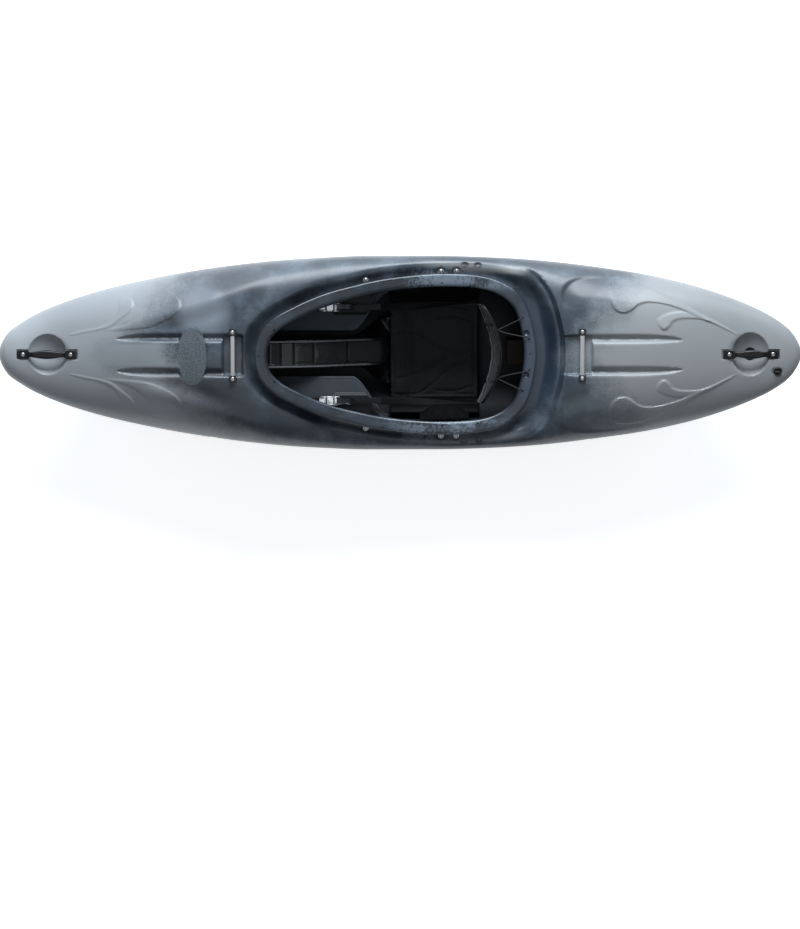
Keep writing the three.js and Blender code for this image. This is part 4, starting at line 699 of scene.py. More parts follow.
deck_shares = [
    (0, 0.727), (0.01, 0.785), (0.025, 0.8), (0.05, 0.803), (0.1, 0.826), (0.15, 0.872),
    (0.2, 0.922), (0.25, 0.955), (0.275, 0.968), (0.3, 0.968), (0.325, 0.96), (0.375, 0.932),
    (0.42, 0.856), (0.46, 0.816), (0.5, 0.78), (0.55, 0.738), (0.6, 0.736), (0.65, 0.775),
    (0.675, 0.831), (0.7, 0.89), (0.72, 0.912), (0.75, 0.912), (0.8, 0.889), (0.85, 0.849),
    (0.9, 0.808), (0.95, 0.775), (0.975, 0.772), (0.99, 0.762), (1, 0.73),
]
fullness_shares = [
    (0, 2), (0.15, 2), (0.25, 2.35), (0.32, 2.9), (0.4, 3.7), (0.6, 4), (0.66, 3.4), (0.72, 2.5),
    (0.85, 2.1), (1, 2),
]
cavity_top_shares = [
    (0.03, 0.72), (0.09, 0.722), (0.1, 0.79), (0.15, 0.845), (0.2, 0.9), (0.25, 0.925),
    (0.272, 0.925), (0.276, 0.88), (0.306, 0.855), (0.35, 0.845), (0.395, 0.795), (0.444, 0.737),
    (0.491, 0.678), (0.54, 0.64), (0.59, 0.625), (0.635, 0.63), (0.704, 0.632), (0.712, 0.835),
    (0.735, 0.843), (0.742, 0.885), (0.8, 0.86), (0.85, 0.825), (0.885, 0.79), (0.905, 0.705),
    (0.96, 0.705), (0.978, 0.72),
]
rim_shares = [
    (0.31, 0.996), (0.3475, 0.988), (0.396, 0.937), (0.4435, 0.881), (0.491, 0.819), (0.539, 0.778),
    (0.587, 0.763), (0.635, 0.768), (0.66, 0.776),
]
coaming_plan_shares = [
    (0, 0), (0.004, 0.13), (0.022, 0.3), (0.07, 0.466), (0.139, 0.6), (0.207, 0.708), (0.276, 0.793),
    (0.345, 0.855), (0.414, 0.911), (0.482, 0.95), (0.586, 0.988), (0.689, 1), (0.793, 0.976),
    (0.861, 0.914), (0.917, 0.805), (0.958, 0.64), (0.978, 0.467), (0.995, 0.2), (1, 0),
]
chine_width, chine_height, flat_bottom, bottom_curve, side_bulge = 0.66, 0.28, 0.35, 1.7, 0.03
coaming_length, coaming_width, coaming_height = 907, 517, 46
rim_lip, coaming_wall = 27, 8
moat_side, moat_front, moat_rear, moat_flare, moat_rear_flare = 30, 31, 76, 8, 26
coaming_rear, end_round = 440.8, 14
zone_front, zone_rear = -620.0, 620.0
front_groove_end, rear_groove_end = -492, 540
cross_half = 92


def at(share):
    return hull_length * (share - 0.5)


def share_of(x):
    return x / hull_length + 0.5


def end_shrink(x):
    """Rounds the two ends: nothing at the tip, whole a little way in."""
    near = clamp((hull_length / 2 - np.abs(x)) / end_round)
    return np.sqrt(1 - (1 - near) ** 2)


def sheer_z(x):
    return hull_height * through(sheer_shares, share_of(x))


def half_beam(x):
    return hull_beam / 2 * through(beam_shares, share_of(x)) * end_shrink(x)


def keel_z(x):
    return mix(sheer_z(x), hull_height * through(keel_shares, share_of(x)), end_shrink(x))


def deck_top_z(x):
    return mix(sheer_z(x), hull_height * through(deck_shares, share_of(x)), end_shrink(x))


def rim_z(x):
    return hull_height * through(rim_shares, share_of(x))


def arch_z(x, y, beam, top):
    power = through(fullness_shares, share_of(x))
    reach = clamp(np.abs(y) / np.maximum(beam, 1e-6))
    return sheer_z(x) + (top - sheer_z(x)) * (1 - reach ** power) ** (1 / power)


def deck_z(x, y):
    return arch_z(x, y, half_beam(x), deck_top_z(x))


def ceiling_z(x, y):
    """Underside of the deck, lowered under the deck's grooves."""
    before, after = (along(cavity_top_shares, share_of(x) + step) for step in (-0.004, 0.004))
    front, rear = (x > at(0.15)) & (x < front_groove_end), (x < at(0.85)) & (x > rear_groove_end)
    groove = 5 * (np.abs(y) < 90) * (front | rear)
    top = hull_height * (before + after) / 2 - groove
    return arch_z(x, y, half_beam(x) - hull_wall, top)


# Raised tongues moulded into both decks, drawn on the starboard side
stern_tongues = [
    [(455, 290), (465, 240), (505, 212), (560, 208), (620, 215), (700, 240), (790, 282), (870, 322),
     (960, 372), (1080, 432), (1195, 500), (1075, 444), (965, 394), (915, 374), (870, 352), (800, 328),
     (725, 312), (655, 310), (608, 326), (576, 352), (540, 368), (500, 364), (468, 336)],
    [(725, 415), (738, 397), (775, 378), (830, 366), (885, 366), (930, 380), (985, 400), (1040, 422),
     (960, 405), (900, 402), (850, 406), (812, 420), (795, 445), (765, 465), (738, 450)],
]
bow_tongues = [
    [(700, 300), (735, 283), (775, 295), (788, 325), (772, 358), (738, 388), (698, 420), (655, 452),
     (590, 468), (500, 486), (420, 498), (500, 474), (590, 456), (650, 430), (690, 392), (710, 350)],
    [(915, 262), (960, 250), (1020, 262), (1058, 300), (1060, 345), (1025, 385), (960, 420), (880, 450),
     (790, 462), (700, 468), (620, 470), (700, 452), (780, 425), (840, 385), (880, 345), (895, 300)],
]
tongues = [spline(from_crop(t, 0), 70, closed=True) for t in bow_tongues]
tongues += [spline(from_crop(t, 530), 70, closed=True) for t in stern_tongues]
tongue_rise, tongue_edge, tongue_tilt = 2.9, 4.5, 0.085


class Handle:
    """Where a grab handle lies: its middle, its slope and how far its bolts are apart."""

    def __init__(self, share, length, bowl_length, bowl_width):
        self.x, self.length, self.reach = at(share), length, (length - 39) / 2
        front, rear = deck_top_z(self.x - self.reach), deck_top_z(self.x + self.reach)
        self.z = (front + rear) / 2 - 5
        self.slope = (rear - front) / (2 * self.reach)
        self.bowl = (bowl_length / 2, bowl_width / 2)

    def seat_z(self, x):
        return self.z + (x - self.x) * self.slope


bow_frame, stern_frame = Handle(0.0624, 193, 124, 133), Handle(0.9354, 181, 118, 141)
front_bar_x, rear_bar_x, bar_spacing = at(0.2938), at(0.7252), 149
bar_edge = (bar_spacing + 21) / 2
drain_x, drain_y, drain_tilt = at(0.9691), -54.0, math.radians(22)
bolt_places = [(at(0.4575), 239.7), (at(0.5607) - 25, 267.0), (at(0.5607) + 25, 267.0)]
crease_reach = 90
shoulder_crease = spline([
    (534, 66), (524, 130), (520, 176), (527, 212), (552, 237), (597, 249), (661, 250), (739, 242),
    (830, 221), (898, 194),
], 70)
panel_outline = np.concatenate([shoulder_crease, [(898, 0), (534, 0)]])
knee_ridge = spline([(-930, 80), (-850, 100), (-707, 143), (-562, 189), (-470, 226), (-400, 254)], 60)
knee_valley = spline([(-860, 84), (-760, 92), (-660, 112), (-580, 142), (-520, 172)], 50)


def inside_box(x, y, half_x, half_y, edge):
    """1 inside a rectangle about the origin, 0 outside it, with a soft edge."""
    return ease((half_x + edge - np.abs(x)) / edge) * ease((half_y + edge - np.abs(y)) / edge)


def moulded_grooves(x, y):
    """Depth of the two grooves along each deck; their far ends narrow to a point."""
    front = clamp((x - at(0.15)) / 150) * (x < 0)
    rear = clamp((at(0.85) - x) / 170) * (x > 0)
    taper = np.sqrt(1 - (1 - front - rear) ** 2)
    near = ease((front_groove_end - x) / 30) + ease((x - rear_groove_end) / 30)
    centre = np.where(x < 0, 56, 52) - 5 * (1 - taper)
    side = 1 - ease(np.abs(np.abs(y) - centre) / (17 * taper + 0.5))
    return 13 * side * near * taper ** 0.7


def line_distance(line, x, y, reach):
    """Distance to a drawn line, no more than reach, and how far along it the nearest point is."""
    far, share = np.full(x.shape, float(reach)), np.zeros(x.shape)
    zone = near_points(line, x, y, reach)
    near, where = far[zone], share[zone]
    for k, (a, b) in enumerate(zip(line, line[1:])):
        away, t = segment_distance(x[zone], y[zone], a, b)
        where = np.where(away < near, (k + t) / (len(line) - 1), where)
        near = np.minimum(near, away)
    far[zone], share[zone] = near, where
    return far, share


def bar_bed(x):
    """Height of the deck under the ends of a security bar."""
    return float(deck_z(x, bar_edge)) - 0.3


def bolt_level(x):
    """Height of the moat's floor at a coaming bolt."""
    return rim_z(np.array([x - 12.5, x + 12.5])).min() - coaming_height - 1.5


def deck_fine(x, y):
    """The deck with everything moulded into it, but without the moat."""
    plain, side = deck_z(x, y), np.abs(y)
    z = plain - moulded_grooves(x, y)
    # Long ridges over the knees, and the valleys inside them
    reliefs = (knee_ridge, 90, 5.5, 30, 0.15), (knee_valley, 80, -4, 24, 0.3)
    for line, reach, height, width, end in reliefs:
        far, share = line_distance(line, x, side, reach)
        z = z + height * np.exp(-(far / width) ** 2) * ease(share / 0.3) * ease((1 - share) / end)
    # Rough oval over the front grooves
    oval = np.hypot((x - oval_x) / oval_length, (y - oval_y) / oval_width)
    z = mix(z, plain - 2.8, 1 - ease((oval - 0.97) / 0.045))
    # Flame tongues
    for outline in tongues:
        near = near_points(outline, x, side, 8)
        if near.any():
            middle = np.polyval(np.polyfit(outline[:, 0], outline[:, 1], 2), x[near])
            share = 0.55 if outline[0, 0] < 0 else 1.0
            height = share * clamp(tongue_rise + tongue_tilt * (middle - side[near]), 1.3, 5.6)
            z[near] += height * ease(0.5 + distance_inside(outline, x[near], side[near]) / tongue_edge)
    # Panel behind the cockpit, sunk along a crease that sets the haunches apart
    far, share = line_distance(shoulder_crease, x, side, crease_reach)
    away = np.where(distance_inside(panel_outline, x, side) > 0, far, -far)
    drop = ease((away + 10) / 20) * (1 - ease((away - 14) / 60))
    z = z - 5 * drop * (far < crease_reach) * ease(share / 0.24) * ease((1 - share) / 0.5)
    # Low flats under the security bars, and the beds of their ends
    for centre, half, level in ((front_bar_x, 27.5, 0.922), (at(0.718), 47, 0.874)):
        climb = np.hypot(clamp(np.abs(x - centre) - half, 0, 99), clamp(side - 59, 0, 99))
        z = soft_min(z, level * hull_height + 1.9 * climb, 4)
    for bar_x in (front_bar_x, rear_bar_x):
        z = mix(z, np.minimum(z, bar_bed(bar_x)), inside_box(x - bar_x, side - 72, 11.4, 13.4, 2.2))
    # Handle bowls and the beds of the handle feet
    for grip in (bow_frame, stern_frame):
        q = ((x - grip.x) / grip.bowl[0]) ** 2 + (y / grip.bowl[1]) ** 2
        bowl = np.where(q < 1, -32 * np.sqrt(clamp(1 - q)), 42 * (np.sqrt(q) - 1))
        z = soft_min(z, deck_top_z(grip.x) + bowl, 7)
        for end in (-1, 1):
            share = inside_box(x - grip.x - end * grip.reach, y, 20.2, 14.4, 2.4)
            z = mix(z, np.minimum(z, grip.seat_z(x)), share)
    # Socket of the drain plug
    away = np.hypot(x - drain_x, (y - drain_y) / math.cos(drain_tilt))
    tilted = deck_z(drain_x, drain_y) + (y - drain_y) * math.tan(drain_tilt)
    z = mix(z, np.minimum(z, tilted - 3.1), 1 - ease((away - 17) / 2.5))
    # Finger scoops on the shoulders
    for place_x, place_y in scoops:
        z = z - 5 * (1 - ease(np.hypot((x - place_x) / 14, (y - place_y) / 10)))
    return z


# Shell meshes
def half_coaming(marks):
    """Starboard half of the rim's outer edge at shares of its way, and the directions out of it."""
    start = (coaming_rear - coaming_length, 0)
    places = np.array(coaming_plan_shares) * (coaming_length, coaming_width / 2) + start
    port = places * (1, -1)
    fine = spline(np.concatenate([port[3:0:-1], places, port[-2:-5:-1]]), 6000)
    first, last = (np.argmin(np.hypot(*(fine - end).T)) for end in (places[0], places[-1]))
    fine = fine[first:last + 1]
    lengths = way_along(fine)
    line = np.stack([np.interp(marks * lengths[-1], lengths, axis) for axis in fine.T], axis=1)
    line[0, 1] = line[-1, 1] = 0
    run = np.gradient(line, axis=0)
    run[0], run[-1] = (0, 1), (0, -1)
    return line, unit(run)[:, ::-1] * (-1, 1)


def mirrored_loop(values):
    """Whole loop from its starboard half, back along port; places are turned over there."""
    port = values[-2:0:-1].copy()
    if values.ndim > 1:
        port[:, 1] *= -1
    return np.concatenate([values, port])


def stations(low, high, spacing):
    return np.linspace(low, high, int(round((high - low) / spacing)) + 1)


def section_half(x, inset, counts):
    """One starboard half section, keel to sheer: Y and Z at every station."""
    beam = np.maximum(half_beam(x) - inset, 0)
    keel, sheer = keel_z(x) + inset * end_shrink(x), sheer_z(x)
    chine, chine_z = beam * chine_width, keel + (sheer - keel) * chine_height
    rows = [(chine * t, keel) for t in np.linspace(0, flat_bottom, counts[0], endpoint=False)]
    for t in np.linspace(0, 1, counts[1], endpoint=False):
        rows.append((chine * mix(flat_bottom, 1, t), mix(keel, chine_z, t ** bottom_curve)))
    for t in np.linspace(0, 1, counts[2]):
        bulge = side_bulge * (beam - chine) * math.sin(math.pi * t)
        rows.append((mix(chine, beam, t) + bulge, mix(chine_z, sheer, t) - bulge))
    return np.array(rows)


def lower_hull(build, x, inset, counts, flip=False):
    half = section_half(x, inset, counts)
    y, z = np.concatenate([half[:0:-1] * [[-1], [1]], half]).swapaxes(0, 1)
    build.grid(points_of(x, y, z), flip=flip)


def deck_rows(x, inset, count):
    """Sideways places across the deck at one or more stations, starboard edge to port edge."""
    angle = np.linspace(0, math.pi / 2, count + 1)
    power = through(fullness_shares, share_of(x))
    beam = np.maximum(half_beam(x) - inset, 0)
    half = beam[:, None] * np.cos(angle)[None] ** (2 / power[:, None])
    half[:, -1] = 0
    return np.concatenate([half, -half[:, ::-1][:, 1:]], axis=1)


def end_deck(build, x, inset, count, height, flip=False):
    y = deck_rows(x, inset, count)
    where = np.broadcast_to(x[:, None], y.shape)
    build.grid(points_of(where, y, height(where, y)), flip=flip)


def moat_reach(out_x):
    """Width of the moat's floor and of its rising side, wider behind the cockpit."""
    floor = mix(moat_side, np.where(out_x > 0, moat_rear, moat_front), out_x ** 4)
    return floor, np.where(out_x > 0, mix(moat_flare, moat_rear_flare, out_x ** 2), moat_flare)


def zone_border(inset, x, count):
    """Border of the cockpit zone, front middle round starboard to rear middle.

    With it go shares of the way along the coaming, and 1 where the border is the steep hull side.
    """
    front, rear = deck_rows(x[[0, -1]], inset, count)[:, :count + 1]
    line = np.concatenate([
        np.column_stack([np.full(count + 1, x[0]), front[::-1]]),
        np.column_stack([x, half_beam(x) - inset])[1:-1],
        np.column_stack([np.full(count + 1, x[-1]), rear]),
    ])
    step, last = np.arange(len(line)), len(line) - 1
    marks = np.interp(step, [0, count, last - count, last], [0, 0.13, 0.865, 1])
    return line, marks, clamp((np.minimum(step, step[::-1]) - count) / 30)


def toward_border(start, border, steep, share, power):
    """Ring a share of the way out to the border, with longer first steps toward the hull side."""
    ring = mix(start, border, mix(share, 1 - (1 - share) ** power, steep)[:, None])
    ring[0, 1] = ring[-1, 1] = 0
    return ring


def zone_patch(build):
    """Deck, moat and moat floor round the coaming, on rings that follow it."""
    border, marks, steep = zone_border(0, middle_stations, cross_half)
    line, out = half_coaming(marks)
    reach, flare = moat_reach(out[:, 0])
    floor_marks = (-rim_lip + 0.5, -rim_lip + 2, -rim_lip + 5, -rim_lip + 9, -12, -4, 4)
    rings = [(np.full_like(reach, mark), 0.0) for mark in floor_marks]
    rings += [(mix(4, reach, share), 0.0) for share in (0.2, 0.34, 0.47, 0.59, 0.7, 0.8, 0.88, 0.95)]
    rings += [(reach + flare * share, 0.0) for share in np.linspace(0, 1.2, 15)]
    rings += [(reach + flare * 1.2 + 1.5, share) for share in np.linspace(0, 1, 39)]
    places, offset = [], []
    for start, share in rings:
        ring = toward_border(line + out * start[:, None], border, steep, share, 2.6)
        places.append(mirrored_loop(ring))
        offset.append(mirrored_loop(np.hypot(*(ring - line).T) * np.where(start < 0, -1, 1)))
    x, y = np.moveaxis(places, -1, 0)
    offset = np.array(offset)
    reach, flare, floor_x = (mirrored_loop(values) for values in (reach, flare, line[:, 0]))
    base_fillet = clamp(-rim_lip + 8 - offset, 0, 8) / 8
    floor = rim_z(floor_x) - coaming_height + 8 * (1 - np.sqrt(1 - base_fillet ** 2))
    # Behind the cockpit the moat's side climbs in a low ledge instead of a plain valley
    valley = ease((offset - 4) / (reach + flare + 5))
    ledge = 0.16 * ease((offset - 6) / 60) + 0.42 * ease((offset - 36) / 40)
    ledge = ledge + 0.42 * ease((offset - 79) / 14)
    rear = ease((flare - 8) / 18)
    z = mix(floor, deck_fine(x, y), mix(valley, ledge, rear))
    z = z - 2.5 * rear * np.exp(-((offset - 79) / 5) ** 2)
    for bolt_x, bolt_y in bolt_places:
        away = np.hypot(x - bolt_x, np.abs(y) - bolt_y)
        z = mix(z, np.minimum(z, bolt_level(bolt_x)), 1 - ease((away - 12.3) / 2))
    z[-1] = np.where(np.abs(x[-1]) < zone_rear - 1e-6, sheer_z(x[-1]), z[-1])
    build.grid(points_of(x, y, z), wrap=True)


def ceiling_patch(build, x, count):
    """Underside of the deck from the coaming's foot out to the hull side."""
    border, marks, steep = zone_border(hull_wall, x, count)
    line, out = half_coaming(marks)
    start = line - out * (rim_lip + coaming_wall)
    foot = rim_z(line[:, 0]) - coaming_height - hull_wall
    rings = []
    for share in np.linspace(0, 1, 13):
        ring = toward_border(start, border, steep, share, 2.2)
        level = mix(foot, ceiling_z(*ring.T), ease(np.hypot(*(ring - start).T) / 22))
        rings.append(mirrored_loop(np.column_stack([ring, level])))
    build.grid(rings, wrap=True, flip=True)


def coaming_ring():
    """The rim and the wall under it, one closed ring with its holes cut."""
    line, out = map(mirrored_loop, half_coaming(np.linspace(0, 1, 470)))
    profile = [
        (-27, -56), (-27, -24), (-26.4, -18), (-24, -13.8), (-20, -12), (-12, -11.4), (-4, -11.2),
        (-1.2, -10.4), (0, -8.4), (0.1, -5.4), (-0.5, -2.6), (-2, -0.9), (-4.6, -0.1), (-9, 0.1),
        (-16, 0.2), (-23, -0.1), (-29, -0.7), (-34, -2), (-37.6, -4), (-39.6, -6.6), (-40.2, -9.6),
        (-39.4, -12.6), (-37.4, -15.6), (-35.6, -19.5), (-35, -24), (-35, -56),
    ]
    build = Build()
    level = rim_z(line[:, 0])
    rows = [np.column_stack([line + out * offset, level + height]) for offset, height in profile]
    build.grid(rows + rows[:1], wrap=True)
    ring = build.object("coaming_ring", shell, weld=0.02, smooth_angle=None)
    holes = [(-453.7, -1.3, 2.6), (420.2, 1.3, 2.4)]
    pairs = [(-402, 83, 3.6), (135, 230, 3.6), (253, 224.6, 3.6)]
    pairs += [(at(0.6524), 118, 3.4), (at(0.6603), 50, 3.4)]
    holes += [(x, side * y, radius) for x, y, radius in pairs for side in (1, -1)]
    work = bmesh.new()
    for x, y, radius in holes:
        where = Matrix.Translation(Vector((x, y, rim_z(x) - 6)) * MM)
        size = dict(radius1=radius * MM, radius2=radius * MM, depth=36 * MM)
        bmesh.ops.create_cone(work, cap_ends=True, segments=20, matrix=where, **size)
    # Two finger hollows in the rear of the rim
    x = photo_x(526.1) - 3
    for side in (1, -1):
        where = Matrix.Translation(Vector((x, side * 67.8, rim_z(x) + 5)) * MM)
        bmesh.ops.create_uvsphere(work, u_segments=28, v_segments=18, radius=12 * MM, matrix=where)
    cutter = new_piece("rim_cutters", new_mesh("rim_cutters", work))
    modified(ring, "BOOLEAN", operation="DIFFERENCE", solver="EXACT", object=cutter)
    bpy.data.objects.remove(cutter)
    return ring


def make_shell():
    skin, lining = Build(), Build()
    lower_hull(skin, all_stations, 0, (7, 14, 14))
    for x in (bow_stations, stern_stations):
        end_deck(skin, x, 0, cross_half, deck_fine)
    zone_patch(skin)
    bow, stern = stations(at(0.03), zone_front, 20), stations(zone_rear, at(0.978), 20)
    middle = stations(zone_front, zone_rear, 12)
    lower_hull(lining, joined(bow, middle, stern), hull_wall, (3, 6, 7), flip=True)
    for x in (bow, stern):
        end_deck(lining, x, hull_wall, 14, ceiling_z, flip=True)
    ceiling_patch(lining, middle, 14)
    piece = join(
        "kayak_shell", skin.object("shell_outer", shell, weld=0.03, smooth_angle=None),
        lining.object("shell_inner", inside, weld=0.03, smooth_angle=None, outward=False), coaming_ring(),
    )
    piece.data.set_sharp_from_angle(angle=math.radians(38))
    finish_piece(piece, "hull", "shell", "hull_shell")


tip = hull_length / 2 - np.array([14, 11, 8.4, 6, 4, 2.4, 1.2, 0.4, 0])
stern_stations = joined(
    stations(zone_rear, 1040, 4), stations(1040, 1245, 3.1), stations(1245, tip[0], 4), tip,
)
bow_stations = joined(
    -tip[::-1], stations(-tip[0], -1250, 4), stations(-1250, -1030, 3.1), stations(-1030, -728, 4),
    stations(-728, zone_front, 2.6),
)
middle_stations = stations(zone_front, zone_rear, 4)
all_stations = joined(bow_stations, middle_stations, stern_stations)
make_shell()


# Deck hardware
def bolt(node, place, axis, cup=True, spin=0.0, size=1.0):
    """Pan head with a hexagon socket on a cupped washer."""
    washer = [
        (3.9, 0), (9.2, 0), (9.9, 0.35), (9.95, 0.9), (9.4, 1.35), (8.4, 1.5), (7.2, 1.1), (6.6, 0.9),
        (3.9, 0.9),
    ]
    head = [
        (3.2, -8), (3.2, 0.8), (6.3, 0.9), (6.7, 1.3), (6.75, 2.4), (6.3, 3.5), (5.2, 4.35), (4.1, 4.75),
        (3.35, 4.85),
    ]
    six = 2.55 / np.cos((turns(36) + math.pi / 6) % (math.pi / 3) - math.pi / 6)
    socket = [(six * 1.1, 4.85), (six, 4.55), (six, 2.6), (six * 0.05, 2.2)]
    matrix = stand(*place, axis, spin) @ Matrix.Diagonal((size, size, 1, 1))
    build = Build()
    if cup:
        build.lathe(washer, 40, matrix)
    build.lathe(head + socket, 36, matrix)
    piece = build.object(node + "_detail", bolt_steel, weld=0.02, smooth_angle=32)
    finish_piece(piece, "hull", "stainless", node)


def grab_handle(node, grip):
    """Handle with square feet, waisted necks and two ridges along the grip."""
    run = np.linspace(-0.5, 0.5, 96) * grip.length
    inward = grip.length / 2 - np.abs(run)
    corner = np.sqrt(1 - (1 - clamp(inward / 5.0)) ** 2)
    neck = ease((inward - 34) / 8)
    grip_share = np.cos(np.pi * clamp(np.abs(run) / (grip.length / 2 - 46)) / 2) ** 1.2
    half = mix(13.6 * (0.72 + 0.28 * corner), mix(8.4, 14.3, grip_share), neck)
    rise, thick = 4 * ease((inward - 30) / 26), mix(6.2, 12, ease((inward - 27) / 26))
    # Sections are rounded squares with two ridges on top
    angle = turns(30)
    across, up = (np.copysign(np.abs(part) ** 0.38, part) for part in (np.cos(angle), np.sin(angle)))
    ridge = 1.7 * np.exp(-((np.abs(across) - 0.55) / 0.2) ** 2) - 1.9 * np.abs(across) ** 6
    ridge = ridge - 0.7 * np.exp(-(across / 0.3) ** 2)
    run, half, rise, thick, neck = (values[:, None] for values in (run, half, rise, thick, neck))
    rings = points_of(run, half * across, 0.3 + rise + (thick + ridge * neck) * (up / 2 + 0.5))
    tilt = math.atan(grip.slope)
    matrix = Matrix.Translation((grip.x, 0, grip.z)) @ Matrix.Rotation(-tilt, 4, "Y")
    build = Build()
    build.rod(place_rows(rings, matrix))
    collar = [(10.6, 5.2), (12.6, 6.0), (12.9, 7.4), (12.2, 8.4), (11.0, 8.5), (10.5, 7.6), (10.3, 6.6)]
    for side in (-1, 1):
        build.lathe(collar, 40, matrix @ Matrix.Translation((side * grip.reach, 0, 0)))
    piece = build.object(node + "_moulded", satin_plastic, weld=0.01, smooth_angle=50)
    finish_piece(piece, "hull", "black_plastic", node)
    for word, side in (("front", -1), ("rear", 1)):
        place = matrix @ Vector((side * grip.reach, 0, 6.9))
        bolt(f"{node}_bolt_{word}", place, (-math.sin(tilt), 0, math.cos(tilt)), cup=False, spin=0.4 * side)


def end_square(x, y, half):
    """Outline of a square with rounded corners."""
    return [(x + sx * (half - 2.6 * (1 - math.cos(a))), y + sy * (half - 2.6 * (1 - math.sin(a))))
            for sx, sy, span in ((1, 1, (0, 90)), (-1, 1, (90, 0)), (-1, -1, (0, 90)), (1, -1, (90, 0)))
            for a in np.radians(np.linspace(*span, 6))]


def security_bar(word, x, stand_off):
    """Flat bar with rounded ends and black caps over them; the front one stands on two blocks."""
    base = bar_bed(x) + stand_off + 0.3
    half, reach = (6.2, 75.5) if stand_off else (6.8, 78)
    end = [(half * math.cos(a), reach + half * math.sin(a)) for a in np.linspace(0, math.pi, 15)]
    outline = [(x + side * px, side * py) for side in (1, -1) for px, py in end]
    name = f"{word}_bar_polished"
    parts = [flat_plate(name, outline, base, base + 4, stainless, 0.9)]
    for side in (-1, 1):
        cap = end_square(x, side * (bar_spacing / 2 + 0.5), 11.6)
        parts.append(flat_plate("cap", cap, base - 0.2, base + 4.35, black_plastic, 1))
    finish_piece(join(name, *parts), "hull", "stainless", f"{word}_security_bar")
    for side_word, side in SIDES:
        y = side * bar_spacing / 2
        bolt(f"{word}_bar_screw_{side_word}", (x, y, base + 4.3), UP, cup=False, spin=side * 0.3)
        if stand_off:
            name = f"front_bar_block_{side_word}"
            pad = flat_plate(name, end_square(x, y, 10.4), base - 6.3, base - 0.3, black_plastic)
            finish_piece(pad, "hull", "black_plastic", f"front_bar_pad_{side_word}")


def drain_parts():
    """Screw plug with a knurled head, a thread and a finger bar, and its seal."""
    place = (drain_x, drain_y, deck_z(drain_x, drain_y))
    matrix = Matrix.Translation(place) @ Matrix.Rotation(drain_tilt, 4, "X")
    profile = [
        (0.1, -13), (7.4, -13), (8.3, -12.2), (8.3, -0.2), (12.6, -0.2), (13.3, 0.3), (13.5, 1.2),
        (13.5, 3.8), (13.1, 5), (12.2, 5.8), (10.6, 6.1), (9.8, 5.9), (9.2, 5.2), (8.4, 5.0), (0.1, 5.0),
    ]
    knurl = 1 - 0.016 * (np.sin(turns(72) * 18) > 0.2)
    build = Build()
    build.lathe([(r * knurl if r > 13 else r, z) for r, z in profile], 72, matrix)
    turn = np.linspace(0, 1, 181)[:, None]
    angle = turn * 2 * math.pi * 3
    radius, lift = np.array([(8.25, -0.9), (8.62, 0), (8.25, 0.9), (7.8, 0)]).T
    thread = points_of(radius * np.cos(angle), radius * np.sin(angle), -11.5 + 9 * turn + lift)
    build.grid(place_rows(thread, matrix), wrap=True)
    plug = build.object("drain_plug_moulded", satin_plastic, weld=0.01, smooth_angle=35)
    run = np.linspace(-10, 10, 14)[:, None]
    wide = 2.4 * np.sqrt(np.maximum(1 - (np.abs(run) / 10.4) ** 6, 0.02))
    angle = turns(16)
    high = 5.2 + 4.2 * np.maximum(np.sin(angle), 0) ** 0.6 - 0.6 * (np.sin(angle) <= 0)
    grip = Build()
    grip.rod(place_rows(points_of(run, wide * np.cos(angle), high), matrix))
    plug = join("drain_plug_moulded", plug, grip.object("bar", satin_plastic, weld=0.01, smooth_angle=45))
    finish_piece(plug, "drain_screw", "black_plastic", "drain_plug")
    seal = Build()
    angle = np.linspace(0, 2 * math.pi, 17)
    seal.lathe(list(zip(10.6 + 1.75 * np.cos(angle), -1.5 + 1.15 * np.sin(angle))), 48, matrix)
    finish_piece(seal.object("drain_seal_ring", rubber, weld=0.01), "drain_seal", "rubber", "drain_gasket")


def hull_side_y(x, z):
    low = keel_z(x) + (sheer_z(x) - keel_z(x)) * chine_height
    beam = half_beam(x)
    return mix(beam * chine_width, beam, clamp((z - low) / (sheer_z(x) - low)))


grab_handle("bow_handle", bow_frame)
grab_handle("stern_handle", stern_frame)
security_bar("front", front_bar_x, 6.3)
security_bar("rear", rear_bar_x, 0.0)
drain_parts()
for word, (x, y) in zip(("thigh_brace_bolt", "seat_bolt_front", "seat_bolt_rear"), bolt_places):
    for side_word, side in SIDES:
        bolt(f"{word}_{side_word}", (x, side * y, bolt_level(x) + 0.3), UP, spin=x, size=0.86)
rail_x, rail_z = at(0.3367), 174
side_rise = float(sheer_z(rail_x)) - rail_z
side_run = float(hull_side_y(rail_x, sheer_z(rail_x)) - hull_side_y(rail_x, rail_z))
for word, x in (("front", rail_x - 26), ("rear", rail_x + 26)):
    for side_word, side in SIDES:
        place = (x, side * float(hull_side_y(x, rail_z)), rail_z)
        bolt(f"rail_bolt_{word}_{side_word}", place, (0, side * side_rise, -side_run), spin=x)


